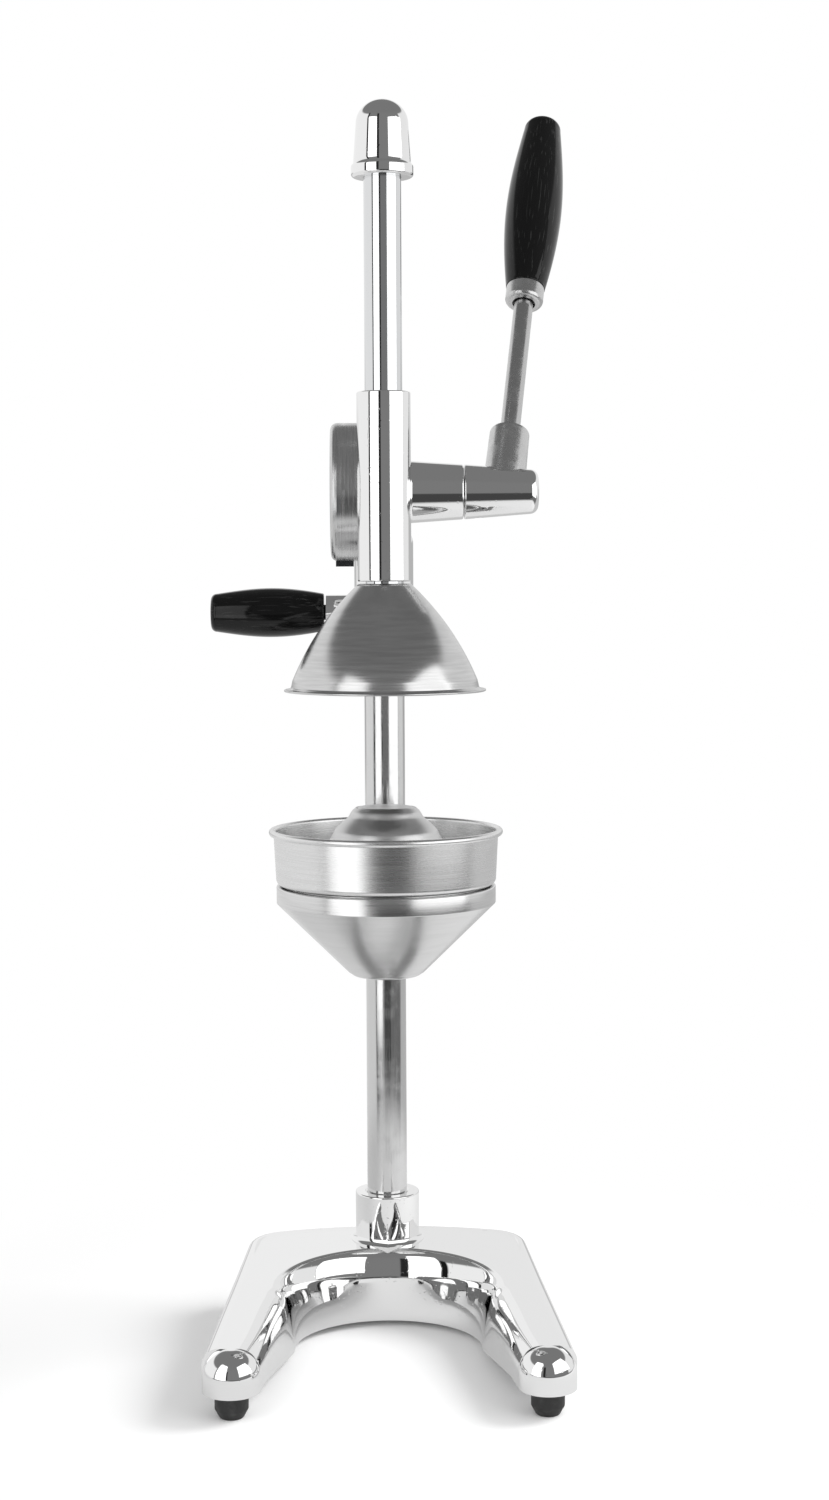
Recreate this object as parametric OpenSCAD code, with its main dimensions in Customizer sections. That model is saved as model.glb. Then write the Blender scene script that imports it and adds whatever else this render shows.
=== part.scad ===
// Lever citrus press: horseshoe base, column, rack and pinion head, spun bell, bowl, cone and funnel
// The pressing axis is the Z axis, the press stands on Z = 0 and its open side faces -Y

/* [Layout] */
// Clearance between the bowl's rim and the column behind it
column_gap = 1; // [0.6:0.2:6]
// Height of the pinion shaft above the surface the press stands on
shaft_h = 516; // [480:1:560]
// Height left for the fruit between the raised bell and the bowl's rim
fruit_gap = 80.7; // [70:0.1:95]
// Height left between the pressed bell's rim and the bowl's floor
press_gap = 4; // [3:0.5:8]

/* [Base] */
// Width over the two noses
base_w = 209; // [196:1:220]
// Width across the back corners
back_w = 177; // [170:1:190]
// Distance from the pressing axis forward to the centres of the noses
leg_reach = 101; // [95:1:120]
// Distance from the column's axis to the middle of the back edge
back_reach = 27; // [24:0.5:32]
// Bow of the back edge between its round corners
back_bow = 8.5; // [4:0.5:12]
// Width of each leg at its nose
nose_w = 33; // [30:1:36]
// Half width of the arch between the legs
arch_half_w = 55.5; // [50:0.5:58]
// Distance from the pressing axis back to the crown of the arch
arch_crown = 47.5; // [44:0.5:50]
// Distance from the pressing axis forward to where the arch meets the straight legs
arch_spring = 4; // [0:1:16]
// Height of the deck at the column
deck_h = 48; // [44:1:54]
// Fall of the deck towards the noses in degrees
deck_fall = 3; // [2:0.25:3.5]
// Radius along the arch's upper edge
arch_round = 12; // [9:0.5:14]
// Radius along the outer upper edge
edge_round = 9; // [6:0.5:12]
// Radius of the domed noses
nose_round = 15; // [12:0.5:16]
// Radius of the back corners in plan
corner_round = 22; // [16:1:30]
// Wall of the hollow casting
base_wall = 6; // [5:0.5:8]
// Height of the underside at the back
back_clear = 4; // [3:0.5:6]
// Height of the underside at the noses
nose_clear = 14.4; // [12:0.2:16]
// Diameter of the socket that holds the column
socket_d = 40; // [37:0.5:44]
// Height of the socket's mouth above the deck
socket_h = 30; // [24:1:40]

/* [Feet] */
// Diameter of the front feet where they meet the noses
foot_d = 19; // [16:0.5:22]
// Diameter of the front feet on the surface
foot_tip_d = 14; // [12:0.5:16]
// Diameter of the low back pads
pad_d = 18; // [14:0.5:20]
// Distance between the back pads
pad_pitch = 140; // [128:1:146]

/* [Column] */
// Diameter of the column
column_d = 25; // [22:0.5:27]
// Diameter of the threaded end under the socket
stud_d = 16; // [12:0.5:18]

/* [Head] */
// Outer diameter of the guide tube
guide_d = 31.5; // [30:0.5:34]
// Length of the guide tube
guide_len = 110; // [104:1:116]
// Distance from the shaft down to the guide tube's lower end
guide_drop = 53.5; // [50:0.5:56]
// Diameter of the collar that grips the column
collar_d = 36.6; // [34:0.2:40]
// Distance from the shaft down to the collar's lower end
collar_drop = 88; // [84:1:96]
// Outer diameter of the shaft boss beside the gear housing
boss_d = 37; // [35:0.5:39]
// Outer diameter of the shaft boss at the lever
boss_tip_d = 32.8; // [31:0.2:34]
// Distance from the middle of the head to the boss's outer end
boss_reach = 47.9; // [44:0.1:54]
// Wall of the gear housing
housing_wall = 3.5; // [3:0.5:5]
// Width of the gear housing
housing_w = 30; // [28:0.5:31]

/* [Rack and pinion] */
// Diameter of the rack rod
rod_d = 22; // [20:0.5:24]
// Gear module, in millimetres of diameter for each tooth
gear_module = 2.5; // [2.25:0.25:2.5]
// Number of teeth on the pinion
pinion_teeth = 28; // [26:1:29]
// Face width of the pinion
pinion_w = 14; // [10:0.5:16]
// Depth from the rod's back to the tips of the rack teeth
rack_flat = 2; // [1.5:0.25:3]
// Diameter of the pinion shaft
shaft_d = 16; // [14:0.5:17]
// Wall of the bronze bushes
bush_wall = 2; // [1.5:0.25:2.5]

/* [Rod cap] */
// Height of the domed cap
cap_h = 44.4; // [40:0.2:54]
// Gap left between the pressed cap and the guide tube
stop_gap = 3.8; // [1:0.1:6]
// Diameter of the cap's lower bead
cap_bead_d = 36.4; // [34:0.2:40]
// Diameter of the cap's body above the bead
cap_d = 33.4; // [31:0.2:35]

/* [Bell] */
// Diameter over the bell's turned lip
bell_d = 118.6; // [112:0.2:120]
// Height of the bell
bell_h = 63; // [58:0.5:68]
// Diameter of the bell's flat crown
bell_crown_d = 32.2; // [30:0.2:36]
// Width of the turned lip
bell_lip = 4.1; // [3:0.1:5]
// Sheet thickness of the bell
bell_t = 1.4; // [1.2:0.1:1.8]

/* [Bowl] */
// Outer diameter of the bowl's wall under its rim
bowl_d = 132.4; // [130:0.2:136]
// Height from the bowl's shoulder up to its rim
bowl_wall_h = 33; // [30:0.5:38]
// Depth from the bowl's rim down to its floor
bowl_depth = 42.3; // [40:0.1:48]
// Diameter of the rolled rim's bead
bead_d = 4; // [3:0.1:5]
// Sheet thickness of the bowl, funnel and cone
sheet_t = 1.2; // [1:0.1:1.5]

/* [Pressing cone] */
// Height of the cone above the bowl's floor
cone_h = 55; // [50:0.5:57]
// Diameter of the cone's flat top
cone_top_d = 34.4; // [30:0.2:38]
// Diameter of the cone's skirt
skirt_d = 93.2; // [90:0.2:96]
// Height of the skirt
skirt_h = 15; // [13:0.5:17]
// Distance between the rings pressed into the cone, measured across it
ring_pitch = 10.4; // [8:0.2:11]
// Height of the upright face of each ring
ring_h = 1.7; // [1:0.1:2.5]
// Number of juice slots round the skirt
slot_count = 24; // [16:1:30]
// Width of each juice slot
slot_w = 3; // [2:0.25:4]

/* [Funnel] */
// Diameter of the funnel's band
band_d = 129.4; // [128.8:0.2:132]
// Height of the funnel's band
band_h = 9.5; // [8:0.5:12]
// Diameter where the cone turns in to the outlet
throat_d = 41; // [36:0.5:46]
// Diameter of the outlet
outlet_d = 24; // [18:0.5:26]

/* [Funnel bracket] */
// Height of the bracket's collar on the column
bracket_h = 30; // [24:1:34]
// Thickness of the seat ring inside the funnel
seat_t = 8; // [6:0.5:9]
// Inner diameter of the seat ring
seat_d = 98; // [95:0.5:102]
// Width of the arm between collar and ring
arm_w = 18; // [14:0.5:22]

/* [Lever] */
// Lean of the raised lever behind upright in degrees
lever_lean = 28; // [20:1:34]
// Splay of the lever away from the head in degrees
lever_splay = 7; // [5:0.5:9]
// Length of the lever from the shaft to the grip's end
lever_len = 277; // [260:1:300]
// Diameter of the lever rod
lever_d = 12; // [10:0.5:13]
// Outer diameter of the hub's outer end
hub_tip_d = 26.1; // [25:0.1:29]
// Distance from the middle of the head to the hub's outer end
hub_reach = 93; // [88:0.5:100]
// Outer diameter of the lever socket at the hub
lever_socket_d = 24.8; // [22:0.2:26]
// Distance from the shaft to the lever socket's mouth
lever_socket_h = 42.4; // [40:0.2:56]
// Length of the lever's grip
grip_len = 130; // [115:1:145]
// Greatest diameter of the lever's grip
grip_d = 36; // [32:0.5:38]
// Diameter of the grip at its tip
grip_end_d = 23.6; // [20:0.2:27]
// Diameter of the ferrule under the grip
ferrule_d = 23.8; // [22:0.2:26]
// Length of the ferrule
ferrule_len = 11; // [10:0.5:16]

/* [Steady handle] */
// Distance from the shaft down to the steady handle's axis
steady_drop = 72.6; // [68:0.2:76]
// Length of the steady grip
steady_len = 70; // [60:1:90]
// Greatest diameter of the steady grip
steady_d = 30.4; // [27:0.2:34]
// Diameter of the steady grip at its ends
steady_end_d = 23.6; // [21:0.2:27]
// Diameter of the collar's boss for the steady handle
steady_boss_d = 21.6; // [20:0.2:24]
// Distance from the column's axis to the end of that boss
steady_boss_reach = 36; // [32:0.5:42]

/* [Spring drum] */
// Diameter of the spring drum
drum_d = 82.6; // [82.4:0.1:86]
// Distance from the middle of the head to the drum's outer face
drum_reach = 31.8; // [30:0.1:36]
// Wall of the spring drum
drum_wall = 1.6; // [1.2:0.1:2]
// Width of the spring strip
strip_w = 10.8; // [9:0.1:11]
// Number of turns in the spring
spring_turns = 6; // [4:1:7]

/* [Hidden] */

// Clearances: run is a running fit, slip a hand fit, gap the space between pieces that only sit close
run = 0.05;
slip = 0.1;
gap = 0.3;
side_play = 0.3;
eps = 0.01;
$fn = 64;

// Column's place, just clear of the bowl's rim
rim_r = bowl_d / 2 - sheet_t + bead_d;
column_reach = rim_r + column_gap + column_d / 2;

// Levels worked out downwards from the shaft
guide_bottom = shaft_h - guide_drop;
guide_top = guide_bottom + guide_len;
bell_seat_gap = 1.3;
bell_top = guide_bottom - bell_seat_gap;
bell_rim = bell_top - bell_h;
bowl_rim = bell_rim - fruit_gap;
bowl_floor = bowl_rim - bowl_depth;
bowl_shoulder = bowl_rim - bowl_wall_h;
seat_top = bowl_floor - sheet_t;
travel = fruit_gap + bowl_depth - press_gap;
cap_bottom = guide_top + travel + stop_gap;
rod_top = cap_bottom + cap_h - 22;

// Gearing: the rack's teeth face back, and the pinion's axis lies one pitch radius behind its pitch line
pressure_angle = 20;
backlash = 0.2;
pitch_r = gear_module * pinion_teeth / 2;
tip_r = pitch_r + gear_module;
root_r = pitch_r - 1.25 * gear_module;
tooth_pitch = PI * gear_module;
rack_tip_y = rod_d / 2 - rack_flat;
rack_pitch_y = rack_tip_y - gear_module;
rack_root_y = rack_pitch_y - 1.25 * gear_module;
shaft_y = rack_pitch_y + pitch_r;
rack_spare = 2;

// Head
housing_r_in = tip_r + 1;
housing_r = housing_r_in + housing_wall;
housing_left = -housing_w / 2 - 0.5;
housing_right = housing_left + housing_w;
collar_top_r = housing_r;
column_top = shaft_h - sqrt(pow(housing_r, 2) - pow(column_reach - column_d / 2 - shaft_y, 2)) - 1.5;
collar_bottom = shaft_h - collar_drop;
hub_gap = 0.5;
hub_start = boss_reach + hub_gap;
chamber_right = pinion_w / 2 + side_play + 0.5;
cover_t = 2;
drum_seat = housing_left - gap;

// Spring strip
strip_left = -drum_reach + drum_wall + 1.2;
strip_t = 0.8;

// Base, measured in a frame whose XY plane is the deck and whose origin is the column's axis
deck_y = -column_reach;
nose_y = deck_y - leg_reach;
nose_x = (base_w - nose_w) / 2;
outer_nose_x = base_w / 2;
inner_nose_x = outer_nose_x - nose_w;
spring_y = deck_y - arch_spring;
arch_depth = arch_crown + arch_spring;
back_x = back_w / 2;
section_drop = deck_h + 20;
leg_stations = 5;
arch_stations = 22;
round_steps = 8;
column_seat = 24;
boss_bottom = 16;
washer_t = 2.5;
washer_d = stud_d * 1.6;
nut_t = 7;

// Bracket that carries the funnel and the bowl
bracket_top = seat_top - seat_t + 2.3;
bracket_bottom = bracket_top - bracket_h;
bracket_r = collar_d / 2;
band_top = bowl_shoulder - 0.6;
band_bottom = band_top - band_h;
band_r = band_d / 2;
funnel_wall = sheet_t * sqrt(2);
funnel_bottom = band_bottom - (band_r - throat_d / 2);
funnel_screw_turn = 38;
funnel_screw_d = 3.2;
head_lift = 0.2;

// Grip profiles, as fractions of their own length and greatest diameter
grip_start = lever_len - grip_len;
ferrule_start = grip_start - ferrule_len;
lever_x = hub_start + (hub_reach - hub_start) * 0.53;

function arc(cx, cy, r, from, to, steps) =
    [for (i = [0 : steps]) let (a = from + (to - from) * i / steps) [cx + r * cos(a), cy + r * sin(a)]];

// Turns a shape drawn upwards to run along +X, with its X to the back and its Y up
module along_x() {
    rotate([90, 0, 90]) children();
}

// Places such a shape on the shaft's axis, starting at x
module on_shaft(x) {
    translate([x, shaft_y, shaft_h]) along_x() children();
}

// Turns a shape drawn upwards to run along the lever, from the shaft's axis
module along_lever() {
    translate([lever_x, shaft_y, shaft_h]) rotate([-lever_lean, 0, 0]) rotate([0, lever_splay, 0]) children();
}

module hex(width, height) {
    cylinder(h = height, d = width / cos(30), $fn = 6);
}

// Socket head screw: its shank runs up from z = 0 and its head lies below
module cap_screw(d, length) {
    cylinder(h = length, d = d);
    translate([0, 0, -d * 0.8]) difference() {
        cylinder(h = d * 0.8, d = d * 1.7);
        translate([0, 0, -eps]) hex(d * 0.8, d * 0.4);
    }
}

// Headless screw with a hexagon socket in its end, running up from z = 0
module grub_screw(d, length) {
    difference() {
        cylinder(h = length, d = d);
        translate([0, 0, -eps]) hex(d * 0.5, d * 0.5);
    }
}

// Inner rail of the horseshoe for t from 0 at the left nose to 1 at the crown
function inner_rail(t, set) =
    t < 0
        ? let (f = 1 + t)
          [-(inner_nose_x + (arch_half_w - inner_nose_x) * f) - set, nose_y + (spring_y - nose_y) * f]
        : [-(arch_half_w + set) * cos(90 * t), spring_y + (arch_depth + set) * sin(90 * t)];

// Back edge as one long arc, and the round corner that touches it and the straight side
corner_x = back_x - corner_round;
back_r = pow(corner_x, 2) / 2 / back_bow;
back_mid_y = back_reach - back_r;
corner_y = back_mid_y + sqrt(pow(back_r - corner_round, 2) - pow(corner_x, 2));
back_turn = asin(corner_x / (back_r - corner_round));
corner_far = norm([outer_nose_x - corner_x, corner_y - nose_y]);
side_turn = 90 + atan((outer_nose_x - corner_x) / (corner_y - nose_y)) * -1 + asin(corner_round / corner_far);
side_end = [corner_x - corner_round * cos(side_turn + 90), corner_y + corner_round * sin(side_turn + 90)];

// Length of the outer rail's three stretches from the arch's spring to the middle of the back
side_run = side_end[1] - spring_y;
bend_run = PI / 180 * (side_turn - back_turn) * corner_round;
back_run = PI / 180 * back_turn * back_r;

// Outer rail: straight side, round corner, bowed back, for t from -1 at the nose to 1 at the middle
function side_x(y) =
    side_end[0] + (outer_nose_x - side_end[0]) * (side_end[1] - y) / (side_end[1] - nose_y);

function outer_rail(t, set) =
    t < 0
        ? let (y = nose_y + (spring_y - nose_y) * (1 + t)) [-side_x(y) + set, y]
        : let (s = t * (side_run + bend_run + back_run))
          s < side_run
            ? [-side_x(spring_y + s) + set, spring_y + s]
            : s < side_run + bend_run
                ? let (a = 90 + side_turn - (side_turn - back_turn) * (s - side_run) / bend_run)
                  [-corner_x + (corner_round - set) * cos(a), corner_y + (corner_round - set) * sin(a)]
                : let (a = 90 + back_turn * (1 - (s - side_run - bend_run) / back_run))
                  [(back_r - set) * cos(a), back_mid_y + (back_r - set) * sin(a)];

// Upright section from the inner rail to the outer rail: wall, round, deck, round, wall
function section(inner, outer, set, r_in, r_out) =
    let (w = norm(outer - inner), u = (outer - inner) / w)
    let (outline = concat(
        [[0, -section_drop]],
        arc(r_in, -set - r_in, r_in, 180, 90, round_steps),
        arc(w - r_out, -set - r_out, r_out, 90, 0, round_steps),
        [[w, -section_drop]]))
    [for (p = outline) [inner[0] + u[0] * p[0], inner[1] + u[1] * p[0], p[1]]];

// Solid between the two rails, drawn in by set on every side, as one closed mesh
module horseshoe(set, start) {
    stations = [for (i = [0 : leg_stations - 1]) start + (0 - start) * i / leg_stations,
                for (i = [0 : arch_stations]) i / arch_stations];
    left = [for (t = stations)
        section(inner_rail(t, set), outer_rail(t, set), set, max(arch_round - set, 1), max(edge_round - set, 1))];
    right = [for (i = [len(left) - 2 : -1 : 0]) [for (p = left[i]) [-p[0], p[1], p[2]]]];
    rings = concat(left, right);
    count = len(rings[0]);
    last = len(rings) - 1;
    points = [for (r = rings) each r];
    sides = [for (i = [0 : last - 1], j = [0 : count - 1], half = [0, 1])
        let (a = i * count + j, b = i * count + (j + 1) % count, c = a + count, d = b + count)
        half == 0 ? [a, b, c] : [b, d, c]];
    caps = concat([for (j = [1 : count - 2]) [0, j + 1, j]],
                  [for (j = [1 : count - 2]) [last * count, last * count + j, last * count + j + 1]]);
    polyhedron(points = points, faces = concat(sides, caps), convexity = 6);
}

// Domed end of a leg
module nose() {
    r = nose_w / 2;
    profile = concat([[0, -section_drop]], [[r, -section_drop]],
                     arc(r - nose_round, -nose_round, nose_round, 0, 90, round_steps * 2), [[0, 0]]);
    rotate_extrude() polygon(profile);
}

// Places a shape drawn on the deck's plane
module on_deck() {
    translate([0, column_reach, deck_h]) rotate([deck_fall, 0, 0]) children();
}

// Everything under the sloping underside
module below_base() {
    front = -leg_reach - nose_w;
    knee = -leg_reach + nose_w / 2 + 2;
    translate([-base_w, 0, 0]) rotate([90, 0, 90]) linear_extrude(2 * base_w)
        polygon([[front, -60], [front, nose_clear], [knee, nose_clear], [-arch_spring, back_clear],
                 [column_reach + back_reach + 20, back_clear], [column_reach + back_reach + 20, -60]]);
}

module at_noses() {
    for (side = [-1, 1])
        translate([side * nose_x, -leg_reach, 0]) children();
}

module at_pads() {
    for (side = [-1, 1])
        translate([side * pad_pitch / 2, column_reach - 4, 0]) children();
}

pad_recess = 4;
foot_hole_d = 5;

module base_casting() {
    color("silver") difference() {
        union() {
            difference() {
                union() {
                    on_deck() horseshoe(0, -1);
                    on_deck() for (side = [-1, 1])
                        translate([side * nose_x, nose_y, 0]) nose();
                }
                on_deck() horseshoe(base_wall, -0.72);
            }
            translate([0, column_reach, boss_bottom])
                cylinder(h = deck_h + socket_h - boss_bottom, d = socket_d);
            translate([0, column_reach, deck_h - 3]) rotate_extrude()
                polygon(concat([[socket_d / 2 - 2, 0]],
                               arc(socket_d / 2 + 5, 8, 5, 270, 180, 6), [[socket_d / 2 - 2, 8]]));
            at_pads() translate([0, 0, back_clear]) cylinder(h = deck_h - back_clear - 3, d = pad_d + 6);
        }
        below_base();
        translate([0, column_reach, column_seat]) cylinder(h = deck_h + socket_h, d = column_d + 2 * slip);
        translate([0, column_reach, 0]) cylinder(h = deck_h, d = stud_d + 2 * slip);
        translate([0, column_reach, 0]) cylinder(h = boss_bottom, d = washer_d + 2);
        at_noses() cylinder(h = nose_clear + 14, d = foot_hole_d);
        at_pads() cylinder(h = back_clear + 18, d = foot_hole_d);
        at_pads() cylinder(h = back_clear + pad_recess, d = pad_d + 2 * slip);
    }
}

// Rubber foot with a recess for its screw
module front_feet() {
    color("dimgray") at_noses() rotate_extrude()
        polygon(concat([[foot_hole_d / 2 + slip, 5], [4.6, 5], [4.6, 0], [foot_tip_d / 2 - 0.6, 0]],
                       [[foot_tip_d / 2, 0.5]], arc(foot_d / 2 - 2, 5.6, 2, -35, 0, 4),
                       [[foot_d / 2, nose_clear], [foot_hole_d / 2 + slip, nose_clear]]));
}

module back_pads() {
    color("dimgray") at_pads() rotate_extrude()
        polygon([[foot_hole_d / 2 + slip, 4.6], [4.6, 4.6], [4.6, 0], [pad_d / 2 - 0.6, 0], [pad_d / 2, 0.6],
                 [pad_d / 2, back_clear + pad_recess], [foot_hole_d / 2 + slip, back_clear + pad_recess]]);
}

module foot_screws() {
    color("gray") {
        at_noses() translate([0, 0, 5]) cap_screw(foot_hole_d - 0.2, nose_clear + 6);
        at_pads() translate([0, 0, 4.6]) cap_screw(foot_hole_d - 0.2, back_clear + 8);
    }
}

module column() {
    color("lightgray") translate([0, column_reach, 0]) {
        translate([0, 0, column_seat]) cylinder(h = column_top - column_seat, d = column_d);
        translate([0, 0, boss_bottom - washer_t - nut_t - 1])
            cylinder(h = column_seat - boss_bottom + washer_t + nut_t + 1 + eps, d = stud_d);
    }
}

module column_washer() {
    color("gray") translate([0, column_reach, boss_bottom - washer_t]) difference() {
        cylinder(h = washer_t, d = washer_d);
        translate([0, 0, -1]) cylinder(h = washer_t + 2, d = stud_d + 2 * slip);
    }
}

module column_nut() {
    color("gray") translate([0, column_reach, boss_bottom - washer_t - nut_t]) difference() {
        hex(stud_d * 1.5, nut_t);
        translate([0, 0, -1]) cylinder(h = nut_t + 2, d = stud_d + 2 * slip);
    }
}

// Radius of the funnel's outer face at height z
function funnel_r(z) = band_r - max(0, band_bottom - z);

// Cast collar, arm and tapered seat ring that carry the funnel and the bowl
module funnel_bracket() {
    seat_bottom = seat_top - seat_t;
    arm_front = seat_d / 2 + 1;
    color("silver") difference() {
        union() {
            translate([0, column_reach, bracket_bottom]) rotate_extrude()
                polygon(concat([[0, 0]], arc(bracket_r - 2, 2, 2, 270, 360, 4),
                               arc(bracket_r - 2, bracket_h - 2, 2, 0, 90, 4), [[0, bracket_h]]));
            rotate_extrude() polygon([
                [seat_d / 2, seat_bottom], [funnel_r(seat_bottom) - funnel_wall - gap, seat_bottom],
                [funnel_r(seat_top) - funnel_wall - gap, seat_top], [seat_d / 2, seat_top]]);
            translate([0, column_reach - bracket_r + 6, 0]) rotate([90, 0, 0])
                linear_extrude(column_reach - bracket_r + 6 - arm_front)
                translate([-arm_w / 2, bracket_top - 14]) square([arm_w, 14]);
        }
        translate([0, 0, bracket_bottom]) cylinder(h = bracket_h + seat_t, d = seat_d);
        translate([0, column_reach, bracket_bottom - 1]) cylinder(h = bracket_h + 2, d = column_d + 2 * slip);
        translate([0, column_reach + column_d / 2 - 2, bracket_bottom + bracket_h / 2])
            rotate([-90, 0, 0]) cylinder(h = bracket_r, d = 6);
        funnel_screw_places() translate([0, 0, sheet_t]) cylinder(h = seat_t, d = funnel_screw_d + 2 * slip);
    }
}

// Headless screws that lock a collar on the back of the column, heads outwards
module collar_lock(z) {
    translate([0, column_reach + bracket_r, z]) rotate([90, 0, 0])
        grub_screw(6 - 2 * slip, bracket_r - column_d / 2 - slip);
}

module bracket_screw() {
    color("gray") collar_lock(bracket_bottom + bracket_h / 2);
}

// Two places on the back of the funnel's cone, square to its wall and pointing inwards
module funnel_screw_places() {
    z = seat_top - 0.6 * seat_t;
    for (side = [-1, 1])
        rotate([0, 0, 90 + side * funnel_screw_turn])
            translate([funnel_r(z), 0, z]) rotate([0, -45, 0]) children();
}

// Spun funnel, open at the back for the bracket's arm
module funnel() {
    mouth = arm_w / 2 + 1;
    profile = concat(
        [[band_r - 2.2, band_top], [band_r - 0.8, band_top]],
        arc(band_r - 0.8, band_top - 0.8, 0.8, 90, 0, 3),
        [[band_r, band_bottom], [throat_d / 2 + 2, funnel_bottom + 2]],
        arc(throat_d / 2 - 2.5, funnel_bottom + 3.8, 4, -40, -90, 4),
        [[outlet_d / 2, funnel_bottom - 0.2], [outlet_d / 2, funnel_bottom - 0.2 + sheet_t],
         [throat_d / 2 - 2.5, funnel_bottom - 0.2 + sheet_t],
         [throat_d / 2, funnel_bottom + funnel_wall],
         [band_r - sheet_t, band_bottom + funnel_wall - sheet_t],
         [band_r - sheet_t, band_top - sheet_t], [band_r - 2.2, band_top - sheet_t]]);
    color("gainsboro") difference() {
        rotate_extrude() polygon(profile);
        translate([-mouth, 0, bracket_top - 15]) cube([2 * mouth, band_r + 5, band_top - bracket_top + 16]);
        funnel_screw_places() translate([0, 0, -sheet_t]) cylinder(h = 4 * sheet_t, d = funnel_screw_d + 2 * slip);
    }
}

module funnel_screws() {
    color("gray") funnel_screw_places() {
        translate([0, 0, -head_lift - eps]) cylinder(h = 0.6 * seat_t, d = funnel_screw_d);
        translate([0, 0, -0.65 * funnel_screw_d - head_lift]) difference() {
            cylinder(h = 0.65 * funnel_screw_d, d = 2 * funnel_screw_d);
            translate([0, 0, -eps]) hex(0.75 * funnel_screw_d, 0.35 * funnel_screw_d);
        }
    }
}

// Juice bowl: rolled rim, straight wall, shoulder, and a ledge with an upturned lip for the cone
module bowl() {
    r = bowl_d / 2;
    foot_r = r - 1.3;
    spigot_r = band_r - sheet_t - 2.4;
    corner = min(4, foot_r - spigot_r - 0.1);
    lip_r = skirt_d / 2 - sheet_t - gap;
    lip_h = 2.2;
    bead_r = bead_d / 2;
    bead_x = r - sheet_t + bead_r;
    bead_z = bowl_rim - bead_r;
    outside = concat(
        arc(bead_x, bead_z, bead_r, 170, acos((bead_r - sheet_t) / bead_r) - 180, 14), arc(foot_r - corner, bowl_shoulder + corner, corner, 0, -90, 5),
        [[spigot_r, bowl_shoulder], [spigot_r, bowl_floor - sheet_t], [lip_r - sheet_t, bowl_floor - sheet_t],
         [lip_r - sheet_t, bowl_floor + lip_h], [lip_r, bowl_floor + lip_h], [lip_r, bowl_floor]]);
    inside = concat(
        [[spigot_r - sheet_t, bowl_floor], [spigot_r - sheet_t, bowl_shoulder + sheet_t]],
        arc(foot_r - corner, bowl_shoulder + corner, corner - sheet_t, -90, 0, 5), [[r - sheet_t, bead_z]]);
    color("gainsboro") rotate_extrude() polygon(concat(outside, inside));
}

// Pressed cone with stepped rings, a flat top and a slotted skirt that strains the juice
module pressing_cone() {
    top_r = cone_top_d / 2;
    skirt_r = skirt_d / 2;
    function flank_z(r) = let (u = (r - top_r) / (skirt_r - top_r)) cone_h - (cone_h - skirt_h) * (0.6 * u + 0.4 * u * u);
    ring_rs = [for (i = [0 : 2]) top_r + 3.8 + i * ring_pitch];
    edge = 0.6;
    outer = concat(
        [[0, cone_h]], arc(top_r - 1.8, cone_h - 1.8, 1.8, 90, 40, 4),
        [for (r = ring_rs) each concat(
            arc(r - edge, flank_z(r) - edge, edge, 55, 0, 3),
            [[r, flank_z(r) - ring_h + edge / 2], [r + edge, flank_z(r) - ring_h - edge / 3]])],
        arc(skirt_r - 4, skirt_h - 2, 4, 40, 0, 4), [[skirt_r, 0]]);
    inner = concat(
        [[skirt_r - sheet_t, 0], [skirt_r - sheet_t, skirt_h - 2]],
        [for (i = [2 : -1 : 0]) [ring_rs[i] - 0.8, flank_z(ring_rs[i]) - ring_h - 1.4]],
        [[top_r - 2, cone_h - 1.8], [0, cone_h - 1.8]]);
    color("lightgray") translate([0, 0, bowl_floor]) difference() {
        rotate_extrude() polygon(concat(outer, inner));
        for (i = [0 : slot_count - 1])
            rotate([0, 0, (i + 0.5) * 360 / slot_count])
                translate([skirt_r - sheet_t - 1, -slot_w / 2, 3]) cube([sheet_t + 2, slot_w, skirt_h - 6]);
    }
}

// Head casting: guide tube in front, gear housing, collar on the column, shaft boss and steady boss
module head_casting() {
    boss_l = boss_reach - housing_right;
    boss_fillet = 3;
    blend = 3;
    crown = 12;
    collar_h = column_top + 14 - collar_bottom;
    color("silver") difference() {
        union() {
            translate([0, 0, guide_bottom]) cylinder(h = guide_len, d = guide_d);
            on_shaft(housing_left) rotate_extrude()
                polygon(concat([[0, 0], [housing_r, 0]],
                               arc(housing_r - blend, housing_w - blend, blend, 0, 90, 5), [[0, housing_w]]));
            on_shaft(housing_right - eps) rotate_extrude()
                polygon(concat([[0, 0]], arc(boss_d / 2 + boss_fillet, boss_fillet, boss_fillet, 270, 180, 5),
                               [[boss_tip_d / 2 + 0.1, boss_l - 0.6], [boss_tip_d / 2 - 0.5, boss_l], [0, boss_l]]));
            translate([0, column_reach, collar_bottom]) rotate_extrude()
                polygon(concat([[0, 0]], arc(collar_d / 2 - 2, 2, 2, 270, 360, 4),
                               arc(collar_d / 2 - crown, collar_h - crown, crown, 0, 90, 6), [[0, collar_h]]));
            web();
            translate([-steady_boss_reach, column_reach, shaft_h - steady_drop]) along_x()
                cylinder(h = steady_boss_reach, d = steady_boss_d);
        }
        translate([0, 0, guide_bottom - 1]) cylinder(h = guide_len + 2, d = rod_d + 2 * run);
        on_shaft(housing_left - 1) cylinder(h = chamber_right - housing_left + 1, r = housing_r_in);
        on_shaft(0) cylinder(h = boss_reach + 1, d = shaft_d + 2 * bush_wall + 2 * slip);
        translate([0, column_reach, collar_bottom - 1])
            cylinder(h = column_top - collar_bottom + 1.5, d = column_d + 2 * slip);
        for (z = lock_levels)
            translate([0, column_reach + column_d / 2 - 2, z]) rotate([-90, 0, 0]) cylinder(h = bracket_r, d = 6);
        translate([-steady_boss_reach - 1, column_reach, shaft_h - steady_drop]) along_x()
            cylinder(h = steady_boss_reach - column_d / 2, d = steady_bolt_d);
    }
}

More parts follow.
